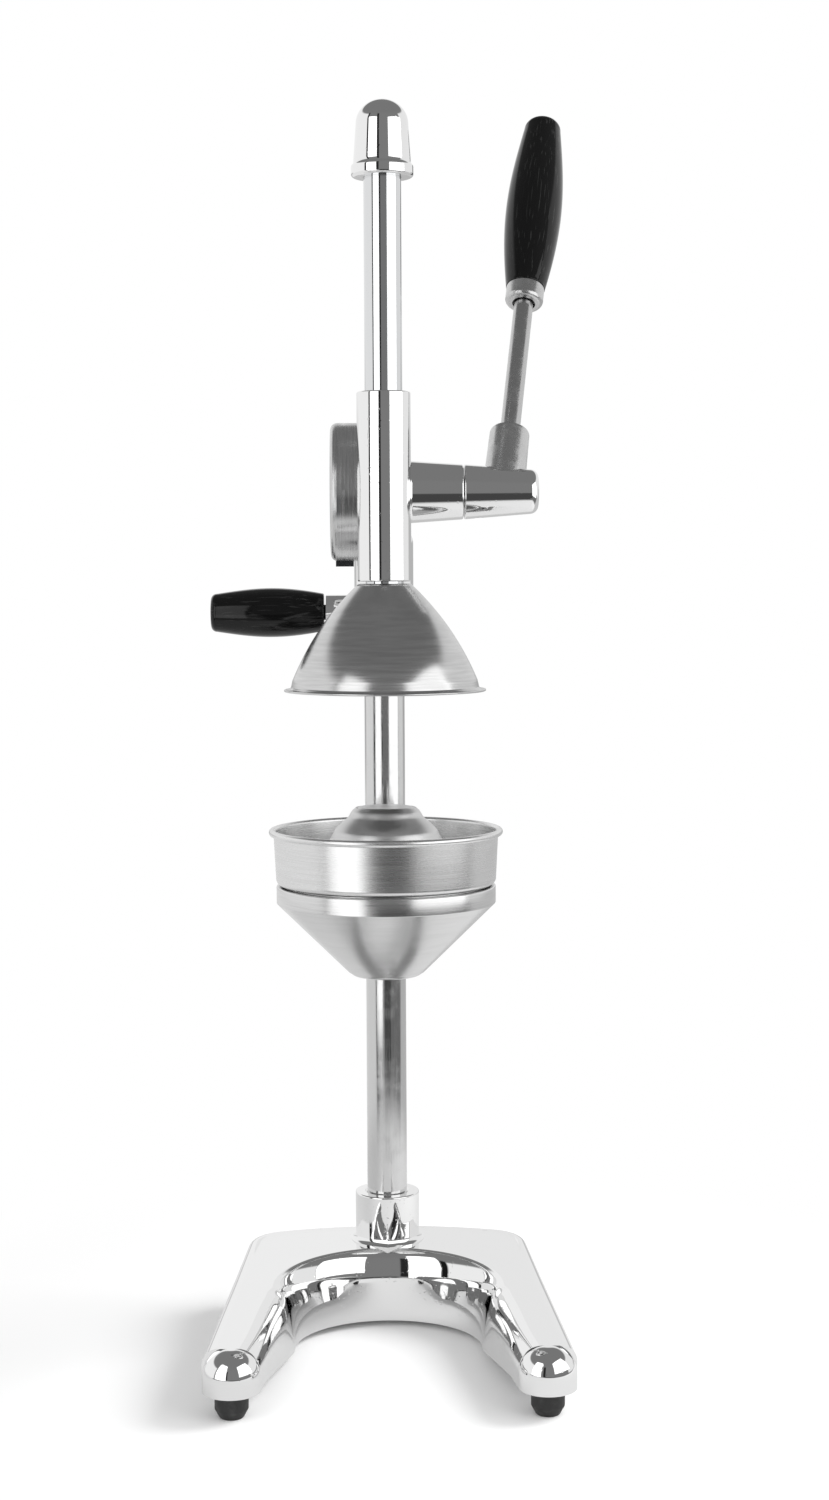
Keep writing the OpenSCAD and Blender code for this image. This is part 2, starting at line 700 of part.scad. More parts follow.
steady_bolt_d = 8;
steady_bite = 2 * steady_bolt_d;
steady_neck = 1.2;
bolt_head_d = 1.6 * steady_bolt_d;
bolt_head_z = steady_len - 10;
lock_levels = [collar_bottom + 38, collar_bottom + 16];

// Flat rib that ties the guide tube's back to the collar under the gear housing
module web() {
    low = guide_bottom + 6;
    translate([-5, 0, 0]) rotate([90, 0, 90]) linear_extrude(10)
        polygon([[guide_d / 2 - 3, low + 10], [column_reach - collar_d / 2 + 4, low - 18],
                 [column_reach - collar_d / 2 + 4, shaft_h - housing_r + 8],
                 [guide_d / 2 - 3, shaft_h - housing_r + 14]]);
}

module head_screws() {
    color("gray") for (z = lock_levels) collar_lock(z);
}

plug_t = 3;

// Stepped disc that plugs the gear chamber, carries the inner bush and holds the drum's screws
module gear_cover() {
    bush_r = shaft_d / 2 + bush_wall + slip;
    flange_r = drum_d / 2 - drum_wall - gap;
    color("gray") difference() {
        union() {
            on_shaft(housing_left - cover_t) cylinder(h = cover_t, r = flange_r);
            on_shaft(housing_left - 0.5) cylinder(h = plug_t + 0.5, r = housing_r_in - slip);
            on_shaft(housing_left) cylinder(h = -pinion_w / 2 - side_play - 0.5 - housing_left, r = bush_r + 2.5);
        }
        on_shaft(housing_left - 10) cylinder(h = 30, r = bush_r);
        drum_screw_places() translate([0, 0, drum_reach + housing_left - cover_t - 1])
            cylinder(h = screw_bite + 1 + slip, d = screw_d + 2 * slip);
    }
}

// Plain bearing from one X to another, in the cover or in the head's boss
module bush(from, to) {
    color("goldenrod") on_shaft(from) difference() {
        cylinder(h = to - from, d = shaft_d + 2 * bush_wall);
        translate([0, 0, -1]) cylinder(h = to - from + 2, d = shaft_d + 2 * run);
    }
}

module inner_bush() {
    bush(housing_left - cover_t, -pinion_w / 2 - side_play);
}

module outer_bush() {
    bush(pinion_w / 2 + side_play, boss_reach);
}

// Drum over the spring: a round cup whose open side meets the gear housing
module spring_drum() {
    r = drum_d / 2;
    depth = drum_reach + drum_seat;
    corner = 4;
    tab_w = strip_w + 1;
    color("darkgray") difference() {
        on_shaft(-drum_reach) rotate_extrude() polygon(concat(
            [[0, 0]], arc(r - corner, corner, corner, 270, 360, 5), [[r, depth], [r - drum_wall, depth]],
            arc(r - corner, corner, corner - drum_wall, 360, 270, 5), [[0, drum_wall]]));
        translate([strip_left - 0.5, shaft_y - 1.5, shaft_h - r - 2]) cube([tab_w, 3, 8]);
        drum_screw_places() translate([0, 0, -1]) cylinder(h = 8, d = screw_d + 2 * slip);
        drum_screw_places() countersink(slip);
    }
}

// Cone of a countersunk head whose flat lies level with the drum's face
module countersink(play) {
    translate([0, 0, -eps]) cylinder(h = drum_wall - 0.2, d1 = screw_d * 1.9 + 2 * play, d2 = screw_d + 2 * play);
}

screw_d = 3;
screw_inset = 8;
screw_bite = 3.5;

module drum_screw_places() {
    for (turn = [90, 210, 330])
        on_shaft(-drum_reach) rotate([0, 0, turn]) translate([drum_d / 2 - screw_inset, 0, 0]) children();
}

module drum_screws() {
    color("gray") drum_screw_places() difference() {
        union() {
            countersink(0);
            cylinder(h = drum_reach + housing_left - cover_t + screw_bite, d = screw_d);
        }
        translate([0, 0, -1]) hex(2, 1.8);
    }
}

// Clock spring wound round the shaft, with its outer end out through the drum as a tab
module return_spring() {
    inner_r = shaft_d / 2 + gap + strip_t / 2;
    tab_r = drum_d / 2 + 3.2;
    steps = spring_turns * 20;
    wound_r = drum_d / 2 - screw_inset - screw_d / 2 - 2;
    function coil(i, off) =
        let (a = -90 - 360 * spring_turns + 360 * spring_turns * i / steps,
             r = inner_r + (wound_r - inner_r) * i / steps + off)
        [r * cos(a), r * sin(a)];
    color("dimgray") on_shaft(strip_left) linear_extrude(strip_w) {
        polygon(concat([for (i = [0 : steps]) coil(i, strip_t / 2)],
                       [for (i = [steps : -1 : 0]) coil(i, -strip_t / 2)]));
        translate([-strip_t / 2, -tab_r]) square([strip_t, tab_r - wound_r + strip_t / 2]);
    }
}

// Turned handle outline between two end diameters and a fuller middle, from z = 0 to length
function barrel(length, d, end_d, tip_d) = concat(
    [[0, 0], [end_d / 2 - 1, 0], [end_d / 2, 1]],
    [for (i = [1 : 9]) let (f = i / 10)
        [end_d / 2 + (d - end_d) / 2 * sin(180 * pow(f, 0.95)) + (tip_d - end_d) / 2 * f, 1 + (length - 7) * f]],
    arc(tip_d / 2 - 5, length - 5, 5, 10, 90, 5), [[0, length]]);

// Long bolt with a washer face that fixes the steady grip to its boss
module steady_bolt() {
    color("dimgray") translate([-steady_boss_reach, column_reach, shaft_h - steady_drop]) rotate([0, -90, 0]) {
        translate([0, 0, -steady_bite]) cylinder(h = steady_bite + bolt_head_z, d = steady_bolt_d - 2 * slip);
        cylinder(h = steady_neck, d = steady_bolt_d + 1.5);
        translate([0, 0, bolt_head_z]) cylinder(h = steady_bolt_d * 0.6, d = bolt_head_d);
    }
}

module steady_grip() {
    color("black") translate([-steady_boss_reach - steady_neck, column_reach, shaft_h - steady_drop]) rotate([0, -90, 0])
        difference() {
            rotate_extrude() polygon(barrel(steady_len, steady_d, steady_end_d, steady_end_d));
            translate([0, 0, -1]) cylinder(h = steady_len + 2, d = steady_bolt_d + 2 * slip);
            translate([0, 0, bolt_head_z - steady_neck]) cylinder(h = steady_len, d = bolt_head_d + 2 * slip);
        }
}

shaft_start = -drum_reach + drum_wall + 1;
shaft_end = hub_reach - 6;

module pinion_shaft() {
    color("gray") difference() {
        on_shaft(shaft_start) cylinder(h = shaft_end - shaft_start, d = shaft_d);
        on_shaft(-pinion_w / 2) translate([-key_w / 2 - slip, shaft_d / 2 - key_h / 2, 0])
            cube([key_w + 2 * slip, key_h, pinion_w]);
    }
}

key_w = 4;
key_h = 4;

// Involute tooth: flank points from the root to the tip, mirrored about the tooth's middle
function involute(r) = let (c = min(1, pitch_r * cos(pressure_angle) / r), a = acos(c)) tan(a) * 180 / PI - a;

function flank(r) = 90 / pinion_teeth - backlash / 4 / pitch_r * 180 / PI
    + involute(pitch_r) - involute(max(r, pitch_r * cos(pressure_angle)));

module pinion_outline() {
    radii = [root_r, for (i = [0 : 3]) let (start = pitch_r * cos(pressure_angle)) start + (tip_r - start) * i / 3];
    polygon([for (k = [0 : pinion_teeth - 1]) let (mid = 180 + k * 360 / pinion_teeth)
        each concat([for (r = radii) [r * cos(mid - flank(r)), r * sin(mid - flank(r))]],
                    [for (i = [len(radii) - 1 : -1 : 0]) let (r = radii[i])
                        [r * cos(mid + flank(r)), r * sin(mid + flank(r))]])]);
}

module pinion() {
    color("dimgray") on_shaft(-pinion_w / 2) difference() {
        linear_extrude(pinion_w) pinion_outline();
        translate([0, 0, -1]) cylinder(h = pinion_w + 2, d = shaft_d + 2 * run);
        translate([-key_w / 2 - slip, 0, -1]) cube([key_w + 2 * slip, shaft_d / 2 + key_h / 2 + slip, pinion_w + 2]);
    }
}

module pinion_key() {
    color("gray") on_shaft(-pinion_w / 2)
        translate([-key_w / 2, shaft_d / 2 - key_h / 2, 0]) cube([key_w, key_h, pinion_w]);
}

// Tapered hub with a rounded end and a leaning socket for the lever rod
module lever_hub() {
    length = hub_reach - hub_start;
    round_r = 5;
    color("silver") difference() {
        union() {
            on_shaft(hub_start) rotate_extrude()
                polygon(concat([[0, 0], [boss_tip_d / 2 - 0.5, 0], [boss_tip_d / 2, 0.6]],
                               arc(hub_tip_d / 2 - round_r + 0.3, length - round_r, round_r, 0, 90, 6),
                               [[0, length]]));
            along_lever() rotate_extrude() polygon(concat([[0, 0], [lever_socket_d / 2 + 0.4, 0]],
                arc(lever_socket_d / 2 - 3.4, lever_socket_h - 2.4, 2.4, 3, 90, 5), [[0, lever_socket_h]]));
        }
        on_shaft(hub_start - 1) cylinder(h = shaft_end - hub_start + 1 + slip, d = shaft_d + 2 * run);
        along_lever() translate([0, 0, rod_seat]) cylinder(h = lever_socket_h, d = lever_d + 2 * slip);
        translate([hub_start + 9, shaft_y, shaft_h - boss_tip_d])
            cylinder(h = boss_tip_d - shaft_d / 2 + 2, d = 6);
    }
}

rod_seat = shaft_d / 2 + 4;

module hub_screw() {
    depth = boss_tip_d / 2 - 1.5 - shaft_d / 2 - slip;
    color("gray") translate([hub_start + 9, shaft_y, shaft_h - boss_tip_d / 2 + 1.5]) grub_screw(6 - 2 * slip, depth);
}

module lever_rod() {
    color("darkgray") along_lever() translate([0, 0, rod_seat + 0.05]) {
        cylinder(h = lever_len - 30 - rod_seat, d = lever_d);
    }
}

module lever_ferrule() {
    r = ferrule_d / 2;
    color("silver") along_lever() translate([0, 0, ferrule_start]) difference() {
        rotate_extrude() polygon(concat([[lever_d / 2 + slip, ferrule_len - 4], [lever_d / 2 + 1.2, ferrule_len - 4],
            [lever_d / 2 + 1.2, 0]], arc(r - 3, 3, 3, 270, 360, 5), [[r, ferrule_len], [lever_d / 2 + slip, ferrule_len]]));
    }
}

module lever_grip() {
    color("black") along_lever() translate([0, 0, grip_start]) difference() {
        rotate_extrude() polygon(barrel(grip_len, grip_d, ferrule_d + 0.8, grip_end_d));
        translate([0, 0, -1]) cylinder(h = grip_len - 28, d = lever_d + 2 * slip);
    }
}

bell_stud_d = 12;
bell_washer_t = 1.5;
bell_nut_h = 5;
stud_len = bell_t + bell_washer_t + bell_nut_h;

// Round rod with a milled rack on its back
module rack_rod() {
    low_reach = tip_r + tooth_pitch * rack_spare;
    teeth_below = ceil(14 / tooth_pitch);
    teeth_above = ceil((travel + 14) / tooth_pitch);
    gap_root = tooth_pitch / 4 + backlash / 4 - 1.25 * gear_module * tan(pressure_angle);
    gap_tip = tooth_pitch / 4 + backlash / 4 + gear_module * tan(pressure_angle);
    color("lightgray") difference() {
        union() {
            translate([0, 0, bell_top]) cylinder(h = rod_top - bell_top, d = rod_d);
            translate([0, 0, bell_top - stud_len]) cylinder(h = stud_len + eps, d = bell_stud_d);
        }
        translate([-rod_d, rack_tip_y, shaft_h - (teeth_below + 0.5) * tooth_pitch])
            cube([2 * rod_d, rod_d, (teeth_below + teeth_above + 1) * tooth_pitch]);
        for (k = [-teeth_below : teeth_above])
            translate([-rod_d, 0, shaft_h + k * tooth_pitch]) rotate([90, 0, 90]) linear_extrude(2 * rod_d)
                polygon([[rack_root_y, -gap_root], [rack_tip_y + 1, -gap_tip - tan(pressure_angle)],
                         [rack_tip_y + 1, gap_tip + tan(pressure_angle)], [rack_root_y, gap_root]]);
    }
}

// Domed cap that stops the rod against the guide tube
module rod_cap() {
    body_r = cap_d / 2;
    bead_r = cap_bead_d / 2;
    bead_h = 7.6;
    crown_r = body_r - 1.5;
    crown_z = cap_h - 14;
    color("silver") translate([0, 0, cap_bottom]) difference() {
        rotate_extrude() polygon(concat(
            [[0, 0], [bead_r - 2, 0]], arc(bead_r - 2, 2, 2, 270, 360, 4), arc(bead_r - 2, bead_h - 2, 2, 0, 60, 4),
            [[body_r, bead_h + 0.8], [body_r, bead_h + 2.4], [crown_r, crown_z]],
            [for (i = [1 : 9]) [crown_r * cos(10 * i), crown_z + 14 * sin(10 * i)]]));
        translate([0, 0, -1]) cylinder(h = rod_top - cap_bottom + 1, d = rod_d + 2 * slip);
    }
}

// Spun bell: flat crown, full flank drawn as one arc, short upright wall and a turned lip
module bell() {
    crown_r = bell_crown_d / 2;
    wall_r = bell_d / 2 - bell_lip;
    lip_h = 1.4;
    wall_foot = 4;
    sag = 3.6;
    function flank_point(f, set) =
        let (dx = wall_r - crown_r, dz = wall_foot - (bell_h - 0.6), l = norm([dx, dz]))
        [crown_r + dx * f + (4 * sag * f * (1 - f) - set) * -dz / l,
         bell_h - 0.6 + dz * f + (4 * sag * f * (1 - f) - set) * dx / l];
    outside = concat([[0, bell_h], [crown_r - 1, bell_h]], [for (i = [0 : 14]) flank_point(i / 14, 0)],
                     [[wall_r + 0.1, wall_foot - 1.6]], arc(wall_r + 2, lip_h + 1, 1, 200, 250, 3),
                     [[bell_d / 2 - 0.6, lip_h], [bell_d / 2, lip_h / 2], [bell_d / 2 - 0.6, 0]]);
    inside = concat([[wall_r - 0.6, 0], [wall_r - bell_t, lip_h + 0.4]],
                    [for (i = [14 : -1 : 1]) flank_point(i / 14, bell_t)], [[crown_r - 1.4, bell_h - bell_t],
                    [0, bell_h - bell_t]]);
    color("gainsboro") translate([0, 0, bell_rim]) difference() {
        rotate_extrude() polygon(concat(outside, inside));
        translate([0, 0, bell_h - 10]) cylinder(h = 20, d = bell_stud_d + 2 * slip);
    }
}

module bell_washer() {
    color("gray") translate([0, 0, bell_top - bell_t - bell_washer_t]) difference() {
        cylinder(h = bell_washer_t, d = bell_crown_d - 6);
        translate([0, 0, -1]) cylinder(h = bell_washer_t + 2, d = bell_stud_d + 2 * slip);
    }
}

// Low domed nut that closes over the rod's threaded end
module bell_nut() {
    dome = 2;
    color("gray") translate([0, 0, bell_top - bell_t - bell_washer_t]) mirror([0, 0, 1]) difference() {
        union() {
            hex(bell_stud_d * 1.5, bell_nut_h);
            translate([0, 0, bell_nut_h - eps]) rotate_extrude() polygon(concat([[0, 0]],
                [for (i = [0 : 9]) [bell_stud_d * 0.7 * cos(10 * i), dome * sin(10 * i)]]));
        }
        translate([0, 0, -1]) cylinder(h = bell_nut_h + 1, d = bell_stud_d + 2 * slip);
    }
}

base_casting();
front_feet();
back_pads();
foot_screws();
column();
column_washer();
column_nut();
funnel_bracket();
bracket_screw();
funnel();
funnel_screws();
bowl();
pressing_cone();
head_casting();
head_screws();
gear_cover();
inner_bush();
outer_bush();
spring_drum();
drum_screws();
return_spring();
steady_bolt();
steady_grip();
pinion_shaft();
pinion();
pinion_key();
lever_hub();
hub_screw();
lever_rod();
lever_ferrule();
lever_grip();
rack_rod();
rod_cap();
bell();
bell_washer();
bell_nut();
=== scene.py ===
import math
import bmesh
import bpy
import numpy as np
from mathutils import Matrix, Vector


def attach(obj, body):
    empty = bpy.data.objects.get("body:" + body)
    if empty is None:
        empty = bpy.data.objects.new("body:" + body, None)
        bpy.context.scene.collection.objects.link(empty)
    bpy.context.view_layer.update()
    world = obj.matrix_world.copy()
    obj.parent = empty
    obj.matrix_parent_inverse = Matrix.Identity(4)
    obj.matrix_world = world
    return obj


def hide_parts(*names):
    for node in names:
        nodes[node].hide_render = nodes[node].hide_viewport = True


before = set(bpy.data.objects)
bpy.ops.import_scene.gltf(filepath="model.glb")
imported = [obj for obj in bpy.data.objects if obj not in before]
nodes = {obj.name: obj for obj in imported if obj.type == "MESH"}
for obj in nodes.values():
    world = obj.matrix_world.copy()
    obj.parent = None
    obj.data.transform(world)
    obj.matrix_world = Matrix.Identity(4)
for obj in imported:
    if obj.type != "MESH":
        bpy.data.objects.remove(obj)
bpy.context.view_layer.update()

mm = 0.001
print("frame loaded:", len(nodes), "nodes")


# colour and node helpers

# sRGB hex to linear: c / 12.92 in the toe, ((c + 0.055) / 1.055) ^ 2.4 above it
def linear(code):
    rgb = [int(code[i:i + 2], 16) / 255 for i in (1, 3, 5)]
    return tuple(c / 12.92 if c <= 0.04045 else ((c + 0.055) / 1.055) ** 2.4 for c in rgb) + (1.0,)


# sets or links a node's inputs by name or number
def feed(tree, node, inputs):
    for key, value in inputs.items():
        if isinstance(value, bpy.types.NodeSocket):
            tree.links.new(value, node.inputs[key])
        else:
            node.inputs[key].default_value = value


# adds a node, sets its properties and feeds its inputs
def addNode(tree, kind, inputs=None, **settings):
    node = tree.nodes.new("ShaderNode" + kind)
    for key, value in settings.items():
        setattr(node, key, value)
    feed(tree, node, inputs or {})
    return node


def math2(tree, operation, a, b=0.0):
    return addNode(tree, "Math", {0: a, 1: b}, operation=operation).outputs[0]


# a Principled surface with the fixed numbers of its look set straight on the shader
def newMaterial(name, look):
    material = bpy.data.materials.new(name)
    material.use_nodes = True
    tree = material.node_tree
    shader = tree.nodes["Principled BSDF"]
    feed(tree, shader, {"Base Color": linear(look["colour"]), "Metallic": look.get("metallic", 0.0),
                        "Roughness": look["roughness"], "Anisotropic": look.get("anisotropy", 0.0),
                        "Specular IOR Level": look.get("specular", 0.5), "IOR": look.get("ior", 1.5)})
    return material, tree, shader


def objectPlace(tree):
    return addNode(tree, "TexCoord").outputs["Object"]


def noiseOf(tree, where, sizeMm, detail=2.0):
    inputs = {"Vector": where, "Scale": 1 / (sizeMm * mm), "Detail": detail}
    return addNode(tree, "TexNoise", inputs).outputs[0]


# carries a value from low..high over to a..b with soft ends
def spread(tree, value, low, high, a=0.0, b=1.0):
    inputs = {"Value": value, "From Min": low, "From Max": high, "To Min": a, "To Max": b}
    return addNode(tree, "MapRange", inputs, interpolation_type="SMOOTHSTEP").outputs[0]


def blendColours(tree, share, a, b):
    mix = addNode(tree, "Mix", {0: share}, data_type="RGBA")
    feed(tree, mix, {"A": linear(a), "B": linear(b)})
    return mix.outputs["Result"]


def bumpOf(tree, height, highMm, below=None):
    inputs = {"Height": height, "Distance": highMm * mm}
    if below is not None:
        inputs["Normal"] = below
    return addNode(tree, "Bump", inputs).outputs[0]


# distance from an axis, place along it and turn round it, for turned and brushed grain
def roundAxis(tree, axis, centre):
    back = tuple(-c * mm for c in centre)
    moved = addNode(tree, "VectorMath", {0: objectPlace(tree), 1: back}, operation="ADD").outputs[0]
    x, y, z = addNode(tree, "SeparateXYZ", {0: moved}).outputs
    across, up, along = (x, y, z) if axis == "Z" else (y, z, x)
    flat = addNode(tree, "CombineXYZ", {0: across, 1: up})
    radius = addNode(tree, "VectorMath", {0: flat.outputs[0]}, operation="LENGTH").outputs["Value"]
    return radius, along, math2(tree, "ARCTAN2", up, across)


# finishes

noiseSpan = (0.2, 0.8)  # nearly all values of a noise lie between these two
chromeLook = {"colour": "#f0f0f0", "metallic": 1.0, "roughness": 0.03, "haze": 0.03, "hazeMm": 22,
              "hazeSpan": (0.35, 0.75), "wavesMm": 15, "pitsMm": 1.7, "pitsSpan": (0.70, 0.80),
              "pitsHigh": 0.012}


# bright chrome on a polished zinc casting: the polishing leaves long shallow waves and a few filled pits
def chromeFinish(name, wavesHigh):
    look = chromeLook
    material, tree, shader = newMaterial(name, look)
    place = objectPlace(tree)
    haze = spread(tree, noiseOf(tree, place, look["hazeMm"]), *look["hazeSpan"], look["roughness"],
                  look["roughness"] + look["haze"])
    waves = bumpOf(tree, noiseOf(tree, place, look["wavesMm"], 1.0), wavesHigh)
    pits = spread(tree, noiseOf(tree, place, look["pitsMm"], 0.0), *look["pitsSpan"], 1.0, 0.0)
    feed(tree, shader, {"Roughness": haze, "Normal": bumpOf(tree, pits, look["pitsHigh"], waves)})
    return material


# stainless sheet spun or pressed on a lathe: fine rings round the axis that stretch each light across them, and
# paler streaks in the colour along them that are partly grain and partly painted highlight streaks
# real rings are about 0.1 mm apart, they are drawn 0.8 mm apart so that they show
def spunFinish(name, colour, grainSheenColour, roughness, uneven, high, anisotropy, axis="Z", centre=(0, 0, 0)):
    ringMm, bandMm, patchMm = 0.8, 5.0, 26
    ringTurn, bandTurn, bandShare = 0.0012, 0.004, 0.35
    grainAndSheenSpan, patchSpan = (0.45, 0.9), (0.35, 0.7)
    material, tree, shader = newMaterial(name, {"colour": colour, "metallic": 1.0, "roughness": roughness,
                                                "anisotropy": anisotropy})
    radius, along, turn = roundAxis(tree, axis, centre)
    across = math2(tree, "ADD", radius, along)
    where = [addNode(tree, "CombineXYZ", {0: across, 1: math2(tree, "MULTIPLY", turn, stretch)})
             for stretch in (ringTurn, bandTurn)]
    rings, bands = noiseOf(tree, where[0].outputs[0], ringMm, 3.0), noiseOf(tree, where[1].outputs[0], bandMm)
    grainAndSheen = spread(tree, math2(tree, "ADD", math2(tree, "MULTIPLY", bands, bandShare), rings), *grainAndSheenSpan)
    cloud = spread(tree, noiseOf(tree, objectPlace(tree), patchMm), *patchSpan, 0.0, uneven)
    rough = spread(tree, rings, *noiseSpan, roughness - uneven, roughness + uneven)
    # painted highlight streaks: the colour turns paler along the rings and bands, partly the lathe's grain and
    # partly standing in for the streak highlights of brushed metal
    feed(tree, shader, {"Base Color": blendColours(tree, grainAndSheen, colour, grainSheenColour),
                        "Roughness": math2(tree, "ADD", rough, cloud), "Normal": bumpOf(tree, rings, high)})
    if axis == "Z":
        tangent = addNode(tree, "Tangent", direction_type="RADIAL", axis="Z")
        feed(tree, shader, {"Tangent": tangent.outputs[0]})
    return material


# ground and polished bar: hairline marks along its length and a slightly cloudy plating
def barFinish(name, colour, roughness, hairMm=0.5, high=0.002):
    cloudMm, along, cloudSpan, cloudShare = 9, 0.02, (0.42, 0.72), 0.6
    smoother, rougher = 0.7, 1.35
    material, tree, shader = newMaterial(name, {"colour": colour, "metallic": 1.0, "roughness": roughness})
    drawn = addNode(tree, "Mapping", {"Vector": objectPlace(tree), "Scale": (1, 1, along)}).outputs[0]
    hair = noiseOf(tree, drawn, hairMm)
    cloud = spread(tree, noiseOf(tree, objectPlace(tree), cloudMm, 3.0), *cloudSpan, 0.0, roughness * cloudShare)
    rough = spread(tree, hair, *noiseSpan, roughness * smoother, roughness * rougher)
    feed(tree, shader, {"Roughness": math2(tree, "ADD", rough, cloud), "Normal": bumpOf(tree, hair, high)})
    return material


# zinc plated, blackened or sintered metal: a dull surface with a faint crystalline mottle
def steelFinish(name, colour, roughness):
    grainMm, grainHigh, smoother, rougher = 0.6, 0.008, 0.08, 0.12
    material, tree, shader = newMaterial(name, {"colour": colour, "metallic": 1.0, "roughness": roughness})
    mottle = noiseOf(tree, objectPlace(tree), grainMm, 4.0)
    rough = spread(tree, mottle, *noiseSpan, roughness - smoother, roughness + rougher)
    feed(tree, shader, {"Roughness": rough, "Normal": bumpOf(tree, mottle, grainHigh)})
    return material


# glossy moulded black phenolic, polished by hands: deep black with faint flow waves and paler hair streaks along
# it, partly scratches and partly painted highlight streaks;
# lean turns the streaks to run along the grip and long draws them out
def plasticFinish(name, lean, long):
    wornMm, hairMm, flowMm, hairHigh, flowHigh = 18, 0.9, 10, 0.006, 0.03
    wornSpan, scratchAndSheenSpan, gloss, dull, scratched = (0.4, 0.7), (0.60, 0.72), 0.05, 0.1, 0.1
    material, tree, shader = newMaterial(name, {"colour": "#101010", "roughness": 0.08, "ior": 1.54,
                                                "specular": 0.25})
    place = objectPlace(tree)
    worn = spread(tree, noiseOf(tree, place, wornMm, 3.0), *wornSpan, gloss, dull)
    drawn = addNode(tree, "Mapping", {"Vector": place, "Rotation": lean, "Scale": long},
                    vector_type="TEXTURE").outputs[0]
    hair = spread(tree, noiseOf(tree, drawn, hairMm, 1.0), *scratchAndSheenSpan)
    flow = bumpOf(tree, noiseOf(tree, place, flowMm, 1.0), flowHigh)
    # painted highlight streaks: the hair marks take a paler colour that stands in for long streak highlights
    # along the grip, besides being scratches
    feed(tree, shader, {"Base Color": blendColours(tree, hair, "#0f0f0f", "#2a2a2a"),
                        "Roughness": math2(tree, "ADD", worn, math2(tree, "MULTIPLY", hair, scratched)),
                        "Normal": bumpOf(tree, hair, hairHigh, flow)})
    return material


# moulded black rubber: matt, a little grey with dust, with a sandy skin
def rubberFinish(name):
    material, tree, shader = newMaterial(name, {"colour": "#262626", "roughness": 0.6, "ior": 1.5})
    dustMm, dustSpan, skinMm, skinHigh = 5, (0.45, 0.8), 0.4, 0.03
    place = objectPlace(tree)
    dust = spread(tree, noiseOf(tree, place, dustMm, 4.0), *dustSpan)
    feed(tree, shader, {"Base Color": blendColours(tree, dust, "#242424", "#3c3c3c"),
                        "Normal": bumpOf(tree, noiseOf(tree, place, skinMm), skinHigh)})
    return material


shaftAxis = (0, 41.5, 516)
lever = {"x": 72.04, "lean": 28, "splay": 7}  # its line through the shaft's axis


# turns by a number of radians round one axis
def turning(axis, angle):
    c, s = math.cos(angle), math.sin(angle)
    rows = {"X": [[1, 0, 0], [0, c, -s], [0, s, c]], "Y": [[c, 0, s], [0, 1, 0], [-s, 0, c]],
            "Z": [[c, -s, 0], [s, c, 0], [0, 0, 1]]}
    return np.array(rows[axis])


def onShaft(x):
    return np.array([x, shaftAxis[1], shaftAxis[2]])


# turns what is drawn upwards to run along the lever: first by its splay round Y, then by its lean round X
def leverTurn():
    return turning("X", math.radians(-lever["lean"])) @ turning("Y", math.radians(lever["splay"]))


chromeCasting = chromeFinish("polished chrome plated casting", 0.018)
chromeTurned = chromeFinish("polished chrome plated turning", 0.005)
# spun finishes: colour and the paler colour of the streaks (partly grain, partly painted highlight), roughness,
# its unevenness, height of the rings in mm, stretch of the lights
spunBell = spunFinish("spun and polished stainless bell", "#c6c6c6", "#d4d4d4", 0.155, 0.02, 0.0015, 0.85)
spunBowl = spunFinish("spun satin stainless bowl", "#e0e0e0", "#e8e8e8", 0.26, 0.02, 0.001, 0.3)
spunFunnel = spunFinish("spun polished stainless funnel", "#d8d8d8", "#e2e2e2", 0.21, 0.03, 0.003, 0.3)
pressedCone = spunFinish("pressed stainless cone", "#d0d0d0", "#dadada", 0.34, 0.03, 0.002, 0.3)
brushedDrum = spunFinish("brushed steel spring drum", "#c6c6c6", "#d8d8d8", 0.23, 0.04, 0.003, 0.4, "X",
                         shaftAxis)
# bar finishes: colour, roughness, size and height of the hairlines in mm
platedBar = barFinish("plated and polished steel bar", "#e0e1e2", 0.05)
columnBar = barFinish("ground and dull plated column bar", "#d6d6d6", 0.13, 0.5, 0.004)
groundBar = barFinish("ground steel lever bar", "#c4c4c4", 0.2, 0.6)
satinChrome = barFinish("satin chrome plated turning", "#cccccc", 0.24, 0.6, 0.003)
zincSteel = steelFinish("zinc plated steel", "#b4b4b4", 0.32)
springSteel = steelFinish("blued spring steel", "#4a4b4d", 0.3)
blackSteel = steelFinish("blackened steel", "#2b2b2b", 0.4)
bushBronze = steelFinish("sintered bronze", "#a98454", 0.38)
leverBlack = plasticFinish("moulded black phenolic lever grip", Matrix(leverTurn()).to_euler(), (1, 1, 40))
steadyBlack = plasticFinish("moulded black phenolic steady grip", (0, 0, 0), (40, 1, 1))
blackRubber = rubberFinish("moulded black rubber")

finishes = {
    chromeCasting: "base_casting funnel_bracket", chromeTurned: "head_casting lever_hub rod_cap",
    blackRubber: "front_feet back_pads", columnBar: "column", platedBar: "rack_rod", satinChrome: "lever_ferrule",
    groundBar: "pinion_shaft lever_rod", spunFunnel: "funnel", spunBowl: "bowl", pressedCone: "pressing_cone",
    spunBell: "bell", brushedDrum: "spring_drum", bushBronze: "inner_bush outer_bush",
    springSteel: "return_spring pinion", blackSteel: "bracket_screw head_screws steady_bolt hub_screw",
    steadyBlack: "steady_grip", leverBlack: "lever_grip",
    zincSteel: "foot_screws column_washer column_nut funnel_screws gear_cover drum_screws pinion_key bell_washer "
               "bell_nut"}
for material, names in finishes.items():
    for name in names.split():
        mesh = nodes[name].data
        mesh.materials.clear()
        mesh.materials.append(material)
print("finishes made:", len(bpy.data.materials))


# surfaces

def inScene(name, data):
    holder = bpy.data.objects.new(name, data)
    bpy.context.scene.collection.objects.link(holder)
    return holder


